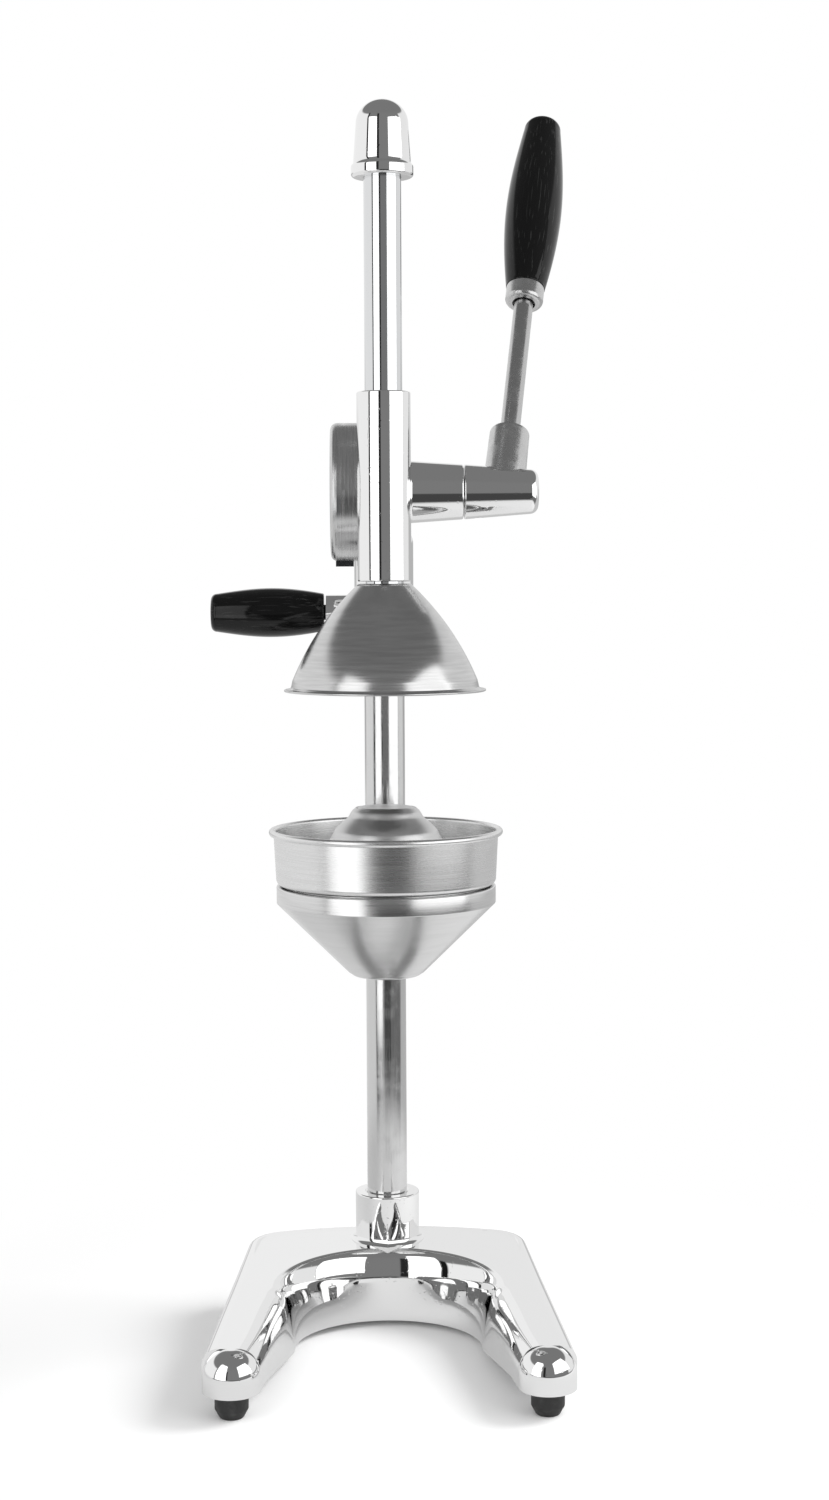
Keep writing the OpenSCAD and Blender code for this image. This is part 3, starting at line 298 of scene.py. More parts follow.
# a mesh object from an array of points in mm and a list of faces
def meshFrom(name, points, faces, material=None):
    mesh = bpy.data.meshes.new(name)
    mesh.from_pydata((np.asarray(points) * mm).tolist(), [], faces)
    if material is not None:
        mesh.materials.append(material)
    return inScene(name, mesh)


# quads of a grid of points, closed round either way
def gridFaces(rows, columns, wrapRows, wrapColumns):
    i, j = np.meshgrid(np.arange(rows - (not wrapRows)), np.arange(columns - (not wrapColumns)), indexing="ij")
    below, beside = (i + 1) % rows, (j + 1) % columns
    quads = np.stack([i * columns + j, i * columns + beside, below * columns + beside, below * columns + j], -1)
    return quads.reshape(-1, 4).tolist()


smoothUpTo = 28  # degrees between two faces that still shade as one surface


# merges doubles, turns every face outwards and shades it smooth up to an angle
def tidyMesh(piece, sharpDegrees):
    mergeMm, thinMm = 0.002, 0.0005
    work = bmesh.new()
    work.from_mesh(piece.data)
    bmesh.ops.remove_doubles(work, verts=work.verts, dist=mergeMm * mm)
    bmesh.ops.dissolve_degenerate(work, edges=work.edges, dist=thinMm * mm)
    bmesh.ops.recalc_face_normals(work, faces=work.faces)
    work.to_mesh(piece.data)
    work.free()
    piece.data.polygons.foreach_set("use_smooth", np.ones(len(piece.data.polygons), bool))
    piece.data.set_sharp_from_angle(angle=math.radians(sharpDegrees))
    return piece


# a closed outline of radius and height carried round the Z axis: x = r cos a, y = r sin a, z = h, then placed
def turned(name, profile, material=None, place=None, around=192, sharpDegrees=smoothUpTo):
    profile = np.asarray(profile, float)
    angle = np.linspace(0, 2 * np.pi, around, endpoint=False)[:, None]
    points = np.stack([np.cos(angle) * profile[:, 0], np.sin(angle) * profile[:, 0],
                       np.ones_like(angle) * profile[:, 1]], -1).reshape(-1, 3)
    if place is not None:
        points = points @ place[0].T + place[1]
    return tidyMesh(meshFrom(name, points, gridFaces(around, len(profile), True, True), material), sharpDegrees)


# rings of points, one list of points each, joined in order and closed at both ends by flat caps
def lofted(name, rings, material=None):
    rows, columns = rings.shape[:2]
    faces = gridFaces(rows, columns, False, True)
    faces += [list(range(columns)), list(range(rows * columns - 1, (rows - 1) * columns - 1, -1))]
    return tidyMesh(meshFrom(name, rings.reshape(-1, 3), faces, material), smoothUpTo)


# a flat outline of Y and Z carried straight along X from one place to another
def prism(name, outline, start, end):
    outline = np.asarray(outline, float)
    return lofted(name, np.stack([np.column_stack([np.full(len(outline), x), outline]) for x in (start, end)]))


# adds and takes away other closed pieces in turn, then shades the result smooth up to an angle
def carved(piece, steps, material, sharpDegrees=smoothUpTo):
    tools = [(way, tool) for way, group in steps for tool in group]
    for way, tool in tools:
        step = piece.modifiers.new("step", "BOOLEAN")
        step.operation, step.solver, step.object = way, "MANIFOLD", tool
    result = bpy.data.meshes.new_from_object(piece.evaluated_get(bpy.context.evaluated_depsgraph_get()))
    piece.modifiers.clear()
    piece.data = result
    for way, tool in tools:
        bpy.data.objects.remove(tool)
    result.materials.clear()
    result.materials.append(material)
    return tidyMesh(piece, sharpDegrees)


# points on a circle between two angles in degrees
def arc(x, y, radius, start, end, steps=16):
    a = np.radians(np.linspace(start, end, steps + 1))
    return np.stack([x + radius * np.cos(a), y + radius * np.sin(a)], 1)


# an outline from its points and runs of points
def joined(*parts):
    return np.concatenate([np.atleast_2d(np.asarray(part, float)) for part in parts])


# closed outline of a bore up to a top, with a mouth that opens at 45 degrees
def boreWith(r, low, top, mouth):
    return [[0, low], [r, low], [r, top - mouth], [r + mouth + 0.5, top + 0.5], [0, top + 0.5]]


# round of an outline's outer corner at its top and at its foot, from the corner's own radius and height
def topRound(r, h, edge, steps=16, start=0):
    return arc(r - edge, h - edge, edge, start, 90, steps)


def footRound(r, h, edge, steps=16, end=360):
    return arc(r - edge, h + edge, edge, 270, end, steps)


# 0 below the first value, 1 above the second, 3 f^2 - 2 f^3 between them
def smoothStep(value, low, high):
    f = np.clip((value - low) / (high - low), 0, 1)
    return f * f * (3 - 2 * f)


toRight = np.array([[0, 0, 1], [1, 0, 0], [0, 1, 0]], float)  # turns what is drawn upwards to run along +X
toLeft = np.array([[0, 0, -1], [0, 1, 0], [1, 0, 0]], float)
toBack = np.array([[1, 0, 0], [0, 0, 1], [0, -1, 0]], float)
upright = np.eye(3)


# a plain cylinder from a point upwards, or along the way that turn gives it
def rod(x, y, z, radius, length, turn=upright, around=96):
    outline = [[0, 0], [radius, 0], [radius, length], [0, length]]
    return turned("tool", outline, None, (turn, np.array([x, y, z], float)), around)


# hands a piece over: the node it stands for and the body it moves with
def keep(piece, node, body):
    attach(piece, body)
    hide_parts(node)
    print("made", piece.name, len(piece.data.polygons), "faces")


# rod cap: a turned dome with a bead at its foot
cap = {"bottom": 695.3, "height": 44.4, "beadR": 18.2, "beadH": 7.6, "beadRound": 2, "bodyR": 16.7, "neck": 0.1,
       "neckFrom": 0.6, "neckTo": 2, "shoulderR": 15.2, "dome": 14, "bore": 11.1, "boreTop": 22.4}


# the dome is a quarter ellipse: r = shoulder cos a, z = top + dome sin a
def makeCap():
    c = cap
    top, edge = c["height"] - c["dome"], c["beadRound"]
    a = np.linspace(0, np.pi / 2, 48)
    outline = joined(
        [c["bore"], 0], [c["beadR"] - edge, 0], footRound(c["beadR"], 0, edge),
        arc(c["beadR"] - edge, c["beadH"] - edge, edge, 0, 60),
        [c["bodyR"] + c["neck"], c["beadH"] + c["neckFrom"]], [c["bodyR"], c["beadH"] + c["neckTo"]],
        np.stack([c["shoulderR"] * np.cos(a), top + c["dome"] * np.sin(a)], 1),
        [0, c["boreTop"]], [c["bore"], c["boreTop"]])
    outline[:, 1] += c["bottom"]
    keep(turned("rodCap", outline, chromeTurned), "rod_cap", "press")


# bell: a spun shell with a full flank, a short wall and a turned lip
bell = {"rim": 398.2, "height": 63, "crownR": 16.1, "crownEdge": 1.2, "crownDrop": 0.6, "lipR": 59.3,
        "wallR": 55.2, "wallTopR": 54.4, "wallFrom": (0.15, -0.8), "wallTo": (0.05, 1.2), "wall": 1.4,
        "lipH": 1.4, "lipEdge": 0.7, "lipBend": 1, "lipBendX": 1.6, "lipIn": 0.6, "lipUp": 0.4, "foot": 6.5,
        "sag": 3.6, "bore": 6.1}


# straight line from the crown to the short wall, pushed out by a parabola 4 sag f (1 - f), drawn in by inset
def bellFlank(share, inset):
    b = bell
    run, drop = b["wallTopR"] - b["crownR"], b["foot"] - (b["height"] - b["crownDrop"])
    length = math.hypot(run, drop)
    push = 4 * b["sag"] * share * (1 - share) - inset
    return np.stack([b["crownR"] + run * share - push * drop / length,
                     b["height"] - b["crownDrop"] + drop * share + push * run / length], 1)


def makeBell():
    b = bell
    share, wall, edge = np.linspace(0, 1, 60), b["wall"], b["lipEdge"]
    outline = joined(
        [b["bore"], b["height"]], [b["crownR"] - b["crownEdge"], b["height"]], bellFlank(share, 0),
        [b["wallTopR"] + b["wallFrom"][0], b["foot"] + b["wallFrom"][1]],
        [b["wallR"] + b["wallTo"][0], b["lipH"] + b["wallTo"][1]],
        arc(b["wallR"] + b["lipBendX"], b["lipH"] + b["lipBend"], b["lipBend"], 200, 265, 8),
        arc(b["lipR"] - edge, b["lipH"] / 2, edge, 90, -90, 12), [b["wallR"] - b["lipIn"], 0],
        [b["wallR"] - wall, b["lipH"] + b["lipUp"]], bellFlank(share[:0:-1], wall),
        [b["crownR"] - wall, b["height"] - wall], [b["bore"], b["height"] - wall])
    outline[:, 1] += b["rim"]
    keep(turned("bellShell", outline, spunBell, sharpDegrees=35), "bell", "press")


# both grips: a turned barrel between two rounds
grip = {"start": 147, "length": 130, "d": 36, "footD": 24.6, "tipD": 23.6, "bore": 6.1, "boreDepth": 101,
        "fullest": 0.95, "tipRound": 6.5}
steady = {"x": -37.2, "y": 82.5, "z": 443.4, "length": 70, "d": 30.4, "footD": 23.6, "tipD": 23.6, "bore": 4.1,
          "pocketR": 6.5, "pocket": 58.8, "fullest": 0.95, "tipRound": 3.5}
gripFoot = 1.0  # round at the foot of either grip


# radius is the straight line between the end radii plus half the swell times sin(pi f ^ fullest)
def barrel(g):
    f = np.linspace(0, 1, 72)
    straight = g["footD"] / 2 + (g["tipD"] - g["footD"]) / 2 * f
    swell = (g["d"] - g["footD"]) / 2 * np.sin(np.pi * f ** g["fullest"])
    side = np.stack([straight + swell, gripFoot + (g["length"] - gripFoot - g["tipRound"]) * f], 1)
    tip = topRound(g["tipD"] / 2, g["length"], g["tipRound"], 20, 4)
    return np.concatenate([footRound(g["footD"] / 2, 0, gripFoot, 8, 355), side, tip])


# turn and place of what stands on the lever's line, at a distance from the shaft's axis
def leverPlace(along):
    turn = leverTurn()
    return turn, onShaft(lever["x"]) + turn @ np.array([0, 0, along])


def makeGrips():
    outline = joined([grip["bore"], 0], barrel(grip), [0, grip["length"]],
                     [0, grip["boreDepth"]], [grip["bore"], grip["boreDepth"]])
    body = turned("leverGrip", outline, leverBlack, leverPlace(grip["start"]))
    keep(body, "lever_grip", "lever")
    outline = joined([steady["bore"], 0], barrel(steady),
                     [steady["pocketR"], steady["length"]], [steady["pocketR"], steady["pocket"]],
                     [steady["bore"], steady["pocket"]])
    place = np.array([steady["x"], steady["y"], steady["z"]])
    body = turned("steadyGrip", outline, steadyBlack, (toLeft, place))
    keep(body, "steady_grip", "stand")


# lever hub: a tapered turning with a full round end, and the leaning socket, left satin, that takes the rod
hub = {"start": 48.4, "end": 93, "startR": 16.4, "endR": 13.35, "round": 5, "edge": 0.8, "socketR": 12.4,
       "socketFoot": 0.4, "socketH": 42.4, "mouth": 2.4, "mouthIn": 3.3, "mouthCut": 0.6, "rodR": 6.1,
       "rodSeat": 12, "shaftR": 8.05, "shaftEnd": 87.1, "screwX": 57.4, "screwR": 3, "screwStop": 6}
ferrule = {"start": 136, "length": 11, "r": 11.9, "round": 3, "lip": 7.2, "bore": 6.1, "cup": 7}


def makeHub():
    h = hub
    length, cut = h["end"] - h["start"], h["mouthCut"]
    outline = joined([0, 0], footRound(h["startR"], 0, h["edge"], 6, 356),
                     topRound(h["endR"], length, h["round"], 24, 4), [0, length])
    shaft = onShaft(h["start"])
    body = turned("leverHub", outline, None, (toRight, shaft))
    mouth = arc(h["socketR"] - h["mouthIn"], h["socketH"] - h["mouth"], h["mouth"] + cut, 4, 90)
    outline = joined([0, 0], [h["socketR"] + h["socketFoot"], 0], mouth, [0, h["socketH"] + cut])
    outline[:, 1] = np.minimum(outline[:, 1], h["socketH"])
    socket = turned("tool", outline, None, leverPlace(0))
    turn, seat = leverPlace(h["rodSeat"])
    screwFoot = onShaft(h["screwX"]) - [0, 0, 2 * h["startR"]]
    tools = [rod(*(shaft - [1, 0, 0]), h["shaftR"], h["shaftEnd"] - h["start"] + 1, toRight),
             rod(*seat, h["rodR"], h["socketH"], turn),
             rod(*screwFoot, h["screwR"], 2 * h["startR"] - h["screwStop"], around=48)]
    carved(body, [("UNION", [socket]), ("DIFFERENCE", tools)], chromeTurned)
    # the socket's faces take the second material: they lie above the hub and within the socket's radius
    body.data.materials.append(satinChrome)
    middles = np.empty(len(body.data.polygons) * 3, np.float32)
    body.data.polygons.foreach_get("center", middles)
    turn, foot = leverPlace(0)
    inSocket = (middles.reshape(-1, 3) / mm - foot) @ turn
    reach = np.hypot(inSocket[:, 0], inSocket[:, 1])
    satin = (inSocket[:, 2] > h["startR"] + 1) & (reach < h["socketR"] + 1)
    body.data.polygons.foreach_set("material_index", satin.astype(np.int32))
    keep(body, "lever_hub", "lever")
    f = ferrule
    outline = joined([f["bore"], f["cup"]], [f["lip"], f["cup"]], [f["lip"], 0],
                     footRound(f["r"], 0, f["round"]), [f["r"], f["length"]], [f["bore"], f["length"]])
    body = turned("leverFerrule", outline, satinChrome, leverPlace(f["start"]))
    keep(body, "lever_ferrule", "lever")


# base: a hollow horseshoe between an inner and an outer rail, on a deck that falls towards the two noses
base = {"columnY": 82.5, "noseX": 88, "noseR": 16.5, "reach": 101, "archHalf": 55.5, "archCrown": 47.5,
        "archSpring": 4, "ease": 0.25, "backHalf": 88.5, "backReach": 27, "backBow": 8.5, "corner": 22,
        "deck": 48, "fall": 3, "crown": 0.25, "noseEdge": 13, "noseRound": 15, "archRound": 8,
        "archDrop": 18, "archFrom": (-1, -0.1), "draft": 0.13, "edgeRound": 9, "seam": 0.8, "shoulder": 2.6,
        "shoulderIn": (-0.9, -0.2), "shoulderOut": (-0.11, -0.01), "wall": 6, "backClear": 4,
        "noseClear": 14.4, "past": 20, "underHalf": 210, "underDeep": 60, "steps": (60, 110, 26), "flats": 7,
        "hollowFrom": -0.72, "hollowSteps": (12, 60, 8), "socketR": 20, "socketH": 30, "socketEdge": 1,
        "mouth": 1.4, "fillet": 3.6, "filletShare": 0.9, "footIn": 0.02, "keel": 25, "keelH": 24,
        "postR": 12, "postDrop": 3, "padX": 70, "padY": 78.5, "padR": 9.1, "padDeep": 4, "boreR": 12.6,
        "boreFrom": 24, "studR": 8.1, "washerR": 13.8, "bossFrom": 16, "screwR": 2.5, "screwDeep": (15, 19)}
noseY, springY = -base["columnY"] - base["reach"], -base["columnY"] - base["archSpring"]


# inner rail in plan: along the leg for t below 0, straight and then easing in by a parabola over its last part,
# then a quarter ellipse to the crown at t = 1
def innerRail(t, inset):
    b = base
    inner = b["noseX"] - b["noseR"]
    depth = b["archCrown"] + b["archSpring"]
    ease = b["ease"]
    bent = (1 + t - np.clip(t + ease, 0, ease) ** 2 / (2 * ease)) / (1 - ease / 2)
    leg = np.stack([-(inner + (b["archHalf"] - inner) * bent) - inset, noseY + (springY - noseY) * (1 + t)], 1)
    a = np.pi / 2 * np.clip(t, 0, 1)
    bow = np.stack([-(b["archHalf"] + inset) * np.cos(a), springY + (depth + inset) * np.sin(a)], 1)
    return np.where(t[:, None] < 0, leg, bow)


# outer rail in plan, by length: straight side, round corner that touches it, then one long arc over the back
def outerRail(t, inset):
    b = base
    outer, cornerX = b["noseX"] + b["noseR"], b["backHalf"] - b["corner"]
    backR = cornerX ** 2 / 2 / b["backBow"]
    midY = b["backReach"] - backR
    cornerY = midY + math.sqrt((backR - b["corner"]) ** 2 - cornerX ** 2)
    backTurn = math.asin(cornerX / (backR - b["corner"]))
    far = math.hypot(outer - cornerX, cornerY - noseY)
    sideTurn = math.pi / 2 - math.atan((outer - cornerX) / (cornerY - noseY)) + math.asin(b["corner"] / far)
    endX, endY = cornerX + b["corner"] * math.sin(sideTurn), cornerY + b["corner"] * math.cos(sideTurn)
    sideRun, bendRun, backRun = endY - springY, (sideTurn - backTurn) * b["corner"], backTurn * backR
    s = np.clip(t, 0, 1) * (sideRun + bendRun + backRun)
    y = np.where(t < 0, noseY + (springY - noseY) * (1 + t), springY + s)
    side = np.stack([-(endX + (outer - endX) * (endY - y) / (endY - noseY)) + inset, y], 1)
    a = np.pi / 2 + sideTurn - (sideTurn - backTurn) * (s - sideRun) / bendRun
    bendR = b["corner"] - inset
    bend = np.stack([-cornerX + bendR * np.cos(a), cornerY + bendR * np.sin(a)], 1)
    a = np.pi / 2 + backTurn * (1 - (s - sideRun - bendRun) / backRun)
    back = np.stack([(backR - inset) * np.cos(a), midY + (backR - inset) * np.sin(a)], 1)
    return np.where((s <= sideRun)[:, None], side, np.where((s <= sideRun + bendRun)[:, None], bend, back))


# moves points from the deck's own frame, whose origin is the column's axis, into the press's frame
def onDeck(points):
    b, a = base, math.radians(base["fall"])
    x, y, z = np.moveaxis(points, -1, 0)
    return np.stack([x, b["columnY"] + y * math.cos(a) - z * math.sin(a),
                     b["deck"] + y * math.sin(a) + z * math.cos(a)], -1)


# one upright section at each place along the rails: wall, round, deck crowned by a parabola, round, wall;
# towards the arch the inner round grows taller than it is wide, and the inner wall leans out by its draft
def horseshoe(name, inset, start, legSteps, archSteps, roundSteps):
    b = base
    t = np.concatenate([np.linspace(start, 0, legSteps, endpoint=False), np.linspace(0, 1, archSteps)])
    inner, outer = innerRail(t, inset), outerRail(t, inset)
    width = np.linalg.norm(outer - inner, axis=1)[:, None]
    unit = (outer - inner) / width
    wide = b["shoulder"] * smoothStep(t, *b["shoulderIn"]) * (1 - smoothStep(t, *b["shoulderOut"]))
    share = smoothStep(t, *b["archFrom"])
    rIn = np.maximum(b["noseEdge"] + (b["archRound"] - b["noseEdge"]) * share + wide - inset, 1)[:, None]
    drop = (b["noseRound"] + (b["archDrop"] - b["noseRound"]) * share - inset)[:, None]
    lean, wallHigh = (b["draft"] * share)[:, None], b["deck"] - b["backClear"]
    rOut = np.maximum(b["edgeRound"] - inset, 1) * np.ones_like(width)
    q = np.radians(np.linspace(0, 90, roundSteps + 1))[None, :]
    f = np.linspace(0, 1, b["flats"])[None, :]
    flatFrom, flatTo = rIn + b["seam"] + lean * wallHigh, width - rOut - b["seam"]
    flat = flatFrom + (flatTo - flatFrom) * f
    low = -(b["deck"] + b["past"]) * np.ones_like(width)
    crown = -b["crown"] * (2 * flat / width - 1) ** 2 if inset == 0 else 0 * flat
    across = np.concatenate([0 * width, 0 * width, rIn * (1 - np.cos(q)), flat,
                             width - rOut * (1 - np.sin(q)), width, width], 1)
    height = np.concatenate([low, -drop - b["seam"], drop * (np.sin(q) - 1), crown, rOut * (np.cos(q) - 1),
                             -rOut - b["seam"], low], 1)
    bent = 3 + roundSteps  # columns of the inner wall and round
    across[:, :bent] += (lean * (height + wallHigh))[:, :bent]
    height[:, 1:-1] -= inset
    plan = inner[:, None, :] + unit[:, None, :] * across[:, :, None]
    left = np.concatenate([plan, height[:, :, None]], 2)
    rings = np.concatenate([left, left[-2::-1] * np.array([-1, 1, 1])])
    return lofted(name, onDeck(rings))


# socket's foot: the circle is drawn out to a blunt keel in front, r = R / cos(keel - |a|), which fades upwards by
# (1 - h / keelH) ^ 1.5, with a fillet that leaves the deck level
def socketFoot():
    b = base
    a = np.linspace(-180, 180, 240, endpoint=False)
    z = np.concatenate([[-10, -9], np.linspace(0, b["fillet"], 14),
                        np.linspace(b["fillet"] + 1, b["keelH"] + 1, 16)])
    h = np.clip(z, 0, None)[:, None]
    off = np.abs(a)[None, :]
    drawn = b["socketR"] / np.cos(np.radians(np.clip(b["keel"] - off, 0, None)))
    fade = np.clip(1 - h / b["keelH"], 0, 1) ** 1.5
    rise = np.clip(1 - h / b["fillet"], 0, 1)
    radius = b["socketR"] - b["footIn"] + (drawn - b["socketR"]) * fade
    radius = radius + b["fillet"] * (1 - np.sqrt(1 - rise ** 2)) * b["filletShare"]
    turn = np.radians(a - 90)[None, :]
    rings = np.stack([radius * np.cos(turn), b["columnY"] + radius * np.sin(turn),
                      b["deck"] + z[:, None] + 0 * radius], -1)
    return lofted("tool", rings)


def makeBase():
    b = base
    deck, past, sides = b["deck"], b["past"], (-1, 1)
    body = horseshoe("baseCasting", 0, -1, *b["steps"])
    noses = []
    for side in sides:
        outline = joined([0, -deck - past], [b["noseR"], -deck - past], [b["noseR"], -b["noseRound"] - 1],
                         topRound(b["noseR"], 0, b["noseRound"], 40), [0, 0])
        nose = turned("tool", outline)
        points = np.empty(len(nose.data.vertices) * 3, np.float32)
        nose.data.vertices.foreach_get("co", points)
        points = points.reshape(-1, 3) / mm + np.array([side * b["noseX"], noseY, 0])
        nose.data.vertices.foreach_set("co", (onDeck(points) * mm).astype(np.float32).ravel())
        noses.append(nose)
    hollow = horseshoe("tool", b["wall"], b["hollowFrom"], *b["hollowSteps"])
    top = deck + b["socketH"]
    outline = joined([0, b["bossFrom"]], [b["socketR"], b["bossFrom"]],
                     topRound(b["socketR"], top, b["socketEdge"], 8), [0, top])
    column = (upright, np.array([0, b["columnY"], 0]))
    socket = turned("tool", outline, None, column)
    postHigh = deck - b["backClear"] - b["postDrop"]
    posts = [rod(side * b["padX"], b["padY"], b["backClear"], b["postR"], postHigh) for side in sides]
    front, knee = -b["reach"] - 2 * b["noseR"], -b["reach"] + b["noseR"] + 2
    far, deep, half = b["columnY"] + b["backReach"] + past, -b["underDeep"], b["underHalf"]
    under = prism("tool", [[front, deep], [front, b["noseClear"]], [knee, b["noseClear"]],
                           [-b["archSpring"], b["backClear"]], [far, b["backClear"]], [far, deep]], -half, half)
    bore = boreWith(b["boreR"], b["boreFrom"], top, b["mouth"])
    holes = [under, turned("tool", bore, None, column), rod(0, b["columnY"], -1, b["studR"], deck),
             rod(0, b["columnY"], -1, b["washerR"], b["bossFrom"] + 1)]
    for side in sides:
        frontDeep, backDeep = b["noseClear"] + b["screwDeep"][0], b["backClear"] + b["screwDeep"][1]
        holes += [rod(side * b["noseX"], -b["reach"], -1, b["screwR"], frontDeep, around=32),
                  rod(side * b["padX"], b["padY"], -1, b["screwR"], backDeep, around=32),
                  rod(side * b["padX"], b["padY"], -1, b["padR"], b["backClear"] + b["padDeep"] + 1, around=64)]
    steps = [("UNION", noses), ("DIFFERENCE", [hollow]), ("UNION", [socket, socketFoot()] + posts),
             ("DIFFERENCE", holes)]
    keep(carved(body, steps, chromeCasting, 24), "base_casting", "stand")


# juice bowl: a curled rim, a wall that leans in a little, a round shoulder and a ledge with an upturned lip
bowl = {"rim": 317.5, "floor": 275.2, "shoulder": 284.5, "r": 66.2, "footR": 64.9, "spigotR": 61.1, "corner": 3.7,
        "sheet": 1.2, "bead": 2, "lipR": 45.1, "lipH": 2.2}


def makeBowl():
    b = bowl
    beadX, beadZ = b["r"] - b["sheet"] + b["bead"], b["rim"] - b["bead"]
    curl = math.degrees(math.acos((b["bead"] - b["sheet"]) / b["bead"])) - 180
    foot, low = b["footR"] - b["corner"], b["shoulder"] + b["corner"]
    under = b["floor"] - b["sheet"]
    outline = joined(
        arc(beadX, beadZ, b["bead"], 170, curl, 36), arc(foot, low, b["corner"], 0, -90, 20),
        [b["spigotR"], b["shoulder"]], [b["spigotR"], under], [b["lipR"] - b["sheet"], under],
        [b["lipR"] - b["sheet"], b["floor"] + b["lipH"]], [b["lipR"], b["floor"] + b["lipH"]],
        [b["lipR"], b["floor"]], [b["spigotR"] - b["sheet"], b["floor"]],
        [b["spigotR"] - b["sheet"], b["shoulder"] + b["sheet"]],
        arc(foot, low, b["corner"] - b["sheet"], -90, 0, 16), [b["r"] - b["sheet"], beadZ])
    keep(turned("juiceBowl", outline, spunBowl, around=240), "bowl", "stand")


# pressing cone: a flat top, three soft steps pressed into a curving flank, and a slotted skirt
cone = {"floor": 275.2, "height": 55, "topR": 17.2, "topIn": 0.2, "topRound": 2.6, "skirtR": 46.6,
        "skirtH": 15, "skirtRound": 3, "skirtDrop": 2.4, "firstRing": 21, "ringPitch": 10.4, "rings": 3,
        "ringH": 1.5, "ringWide": 2.6, "ringRest": 1.5, "straight": 0.6, "bowed": 0.4, "sheet": 1.2,
        "under": 1.8, "innerIn": 4.4, "innerDrop": 3.5, "slots": 24, "slotW": 3, "slotEnd": 3}


# fall of the flank is 0.6 u + 0.4 u^2 of its height, and each ring takes a soft step down and fades to the next
def coneFlank(r):
    c = cone
    u = (r - c["topR"]) / (c["skirtR"] - c["topR"])
    z = c["height"] - (c["height"] - c["skirtH"]) * (c["straight"] * u + c["bowed"] * u * u)
    for i in range(c["rings"]):
        ring = c["firstRing"] + i * c["ringPitch"]
        after = smoothStep(r, ring - 0.5 * c["ringWide"], ring + 0.5 * c["ringWide"])
        z = z - c["ringH"] * after * (1 - smoothStep(r, ring + c["ringRest"], ring + c["ringPitch"] - 1))
    return z


def makeCone():
    c = cone
    edge, low, wall = c["topR"] - c["topRound"], c["height"] - c["under"], c["skirtR"] - c["sheet"]
    r = np.linspace(c["topR"] - c["topIn"], wall, 130)
    outer = joined([0, c["height"]], arc(edge, c["height"] - c["topRound"], c["topRound"], 90, 42, 10),
                   np.stack([r, coneFlank(r)], 1)[4:],
                   arc(c["skirtR"] - c["skirtRound"], c["skirtH"] - c["skirtDrop"], c["skirtRound"], 30, 0, 8),
                   [c["skirtR"], 0])
    r = np.linspace(c["skirtR"] - c["innerIn"], c["topR"], 50)
    inner = joined([wall, 0], [wall, c["skirtH"] - c["innerDrop"]], np.stack([r, coneFlank(r) - c["under"]], 1),
                   [c["topR"] - 2, low], [0, low])
    outline = np.concatenate([outer, inner])
    outline[:, 1] += c["floor"]
    body = turned("strainerCone", outline, around=240)
    slots = []
    for i in range(c["slots"]):
        turn = turning("Z", (i + 0.5) * 2 * np.pi / c["slots"])
        w, x0, x1 = c["slotW"] / 2, wall - 1, c["skirtR"] + 1
        z0, z1 = c["floor"] + c["slotEnd"], c["floor"] + c["skirtH"] - c["slotEnd"]
        side = np.array([[x0, -w, z0], [x1, -w, z0], [x1, w, z0], [x0, w, z0]])
        slots.append(lofted("tool", np.stack([side, side + [0, 0, z1 - z0]]) @ turn.T))
    keep(carved(body, [("DIFFERENCE", slots)], pressedCone, 40), "pressing_cone", "stand")


# funnel: a polished band over a straight cone that turns in to the outlet, open at the back for the bracket's arm
funnel = {"bandR": 64.7, "top": 283.9, "bandBottom": 274.4, "bottom": 230.2, "throatR": 20.5, "outletR": 12,
          "sheet": 1.2, "wall": 1.697, "lipWide": 2.2, "mouth": 10, "mouthFrom": 253.3, "screwZ": 269.2,
          "screwTurn": 38, "screwR": 1.7, "slope": 45, "edge": 0.9, "knee": 1, "bandDrop": 0.2, "turnR": 4,
          "turnX": 2.5, "turnZ": 3.8, "past": 80}


def makeFunnel():
    f = funnel
    wideKnee = f["knee"] * math.tan(math.radians(f["slope"] / 2)) * 2
    lip, under, throat = f["bandR"] - f["lipWide"], f["bottom"] - f["bandDrop"], f["throatR"] - f["turnX"]
    outline = joined(
        [lip, f["top"]], arc(f["bandR"] - f["edge"], f["top"] - f["edge"], f["edge"], 90, 0, 8),
        arc(f["bandR"] - wideKnee, f["bandBottom"], wideKnee, 0, -f["slope"], 5) - [0, f["bandDrop"]],
        [f["throatR"] + 2, f["bottom"] + 2], arc(throat, f["bottom"] + f["turnZ"], f["turnR"], -40, -90),
        [f["outletR"], under], [f["outletR"], under + f["sheet"]], [throat, under + f["sheet"]],
        [f["throatR"], f["bottom"] + f["wall"]], [f["bandR"] - f["sheet"], f["bandBottom"] + 0.5],
        [f["bandR"] - f["sheet"], f["top"] - f["sheet"]], [lip, f["top"] - f["sheet"]])
    body = turned("juiceFunnel", outline, around=240)
    out, over = f["past"], f["top"] + 2
    back = [[0, f["mouthFrom"]], [out, f["mouthFrom"]], [out, over], [0, over]]
    tools = [prism("tool", back, -f["mouth"], f["mouth"])]
    reach = f["bandR"] - (f["bandBottom"] - f["screwZ"])
    for side in (-1, 1):
        spin = turning("Z", math.radians(90 + side * f["screwTurn"]))
        tilt = turning("Y", math.radians(-f["slope"]))
        start = np.array([reach, 0, f["screwZ"]]) + tilt @ np.array([0, 0, -f["sheet"]])
        tools.append(rod(*(spin @ start), f["screwR"], 4 * f["sheet"], spin @ tilt, around=32))
    keep(carved(body, [("DIFFERENCE", tools)], spunFunnel), "funnel", "stand")


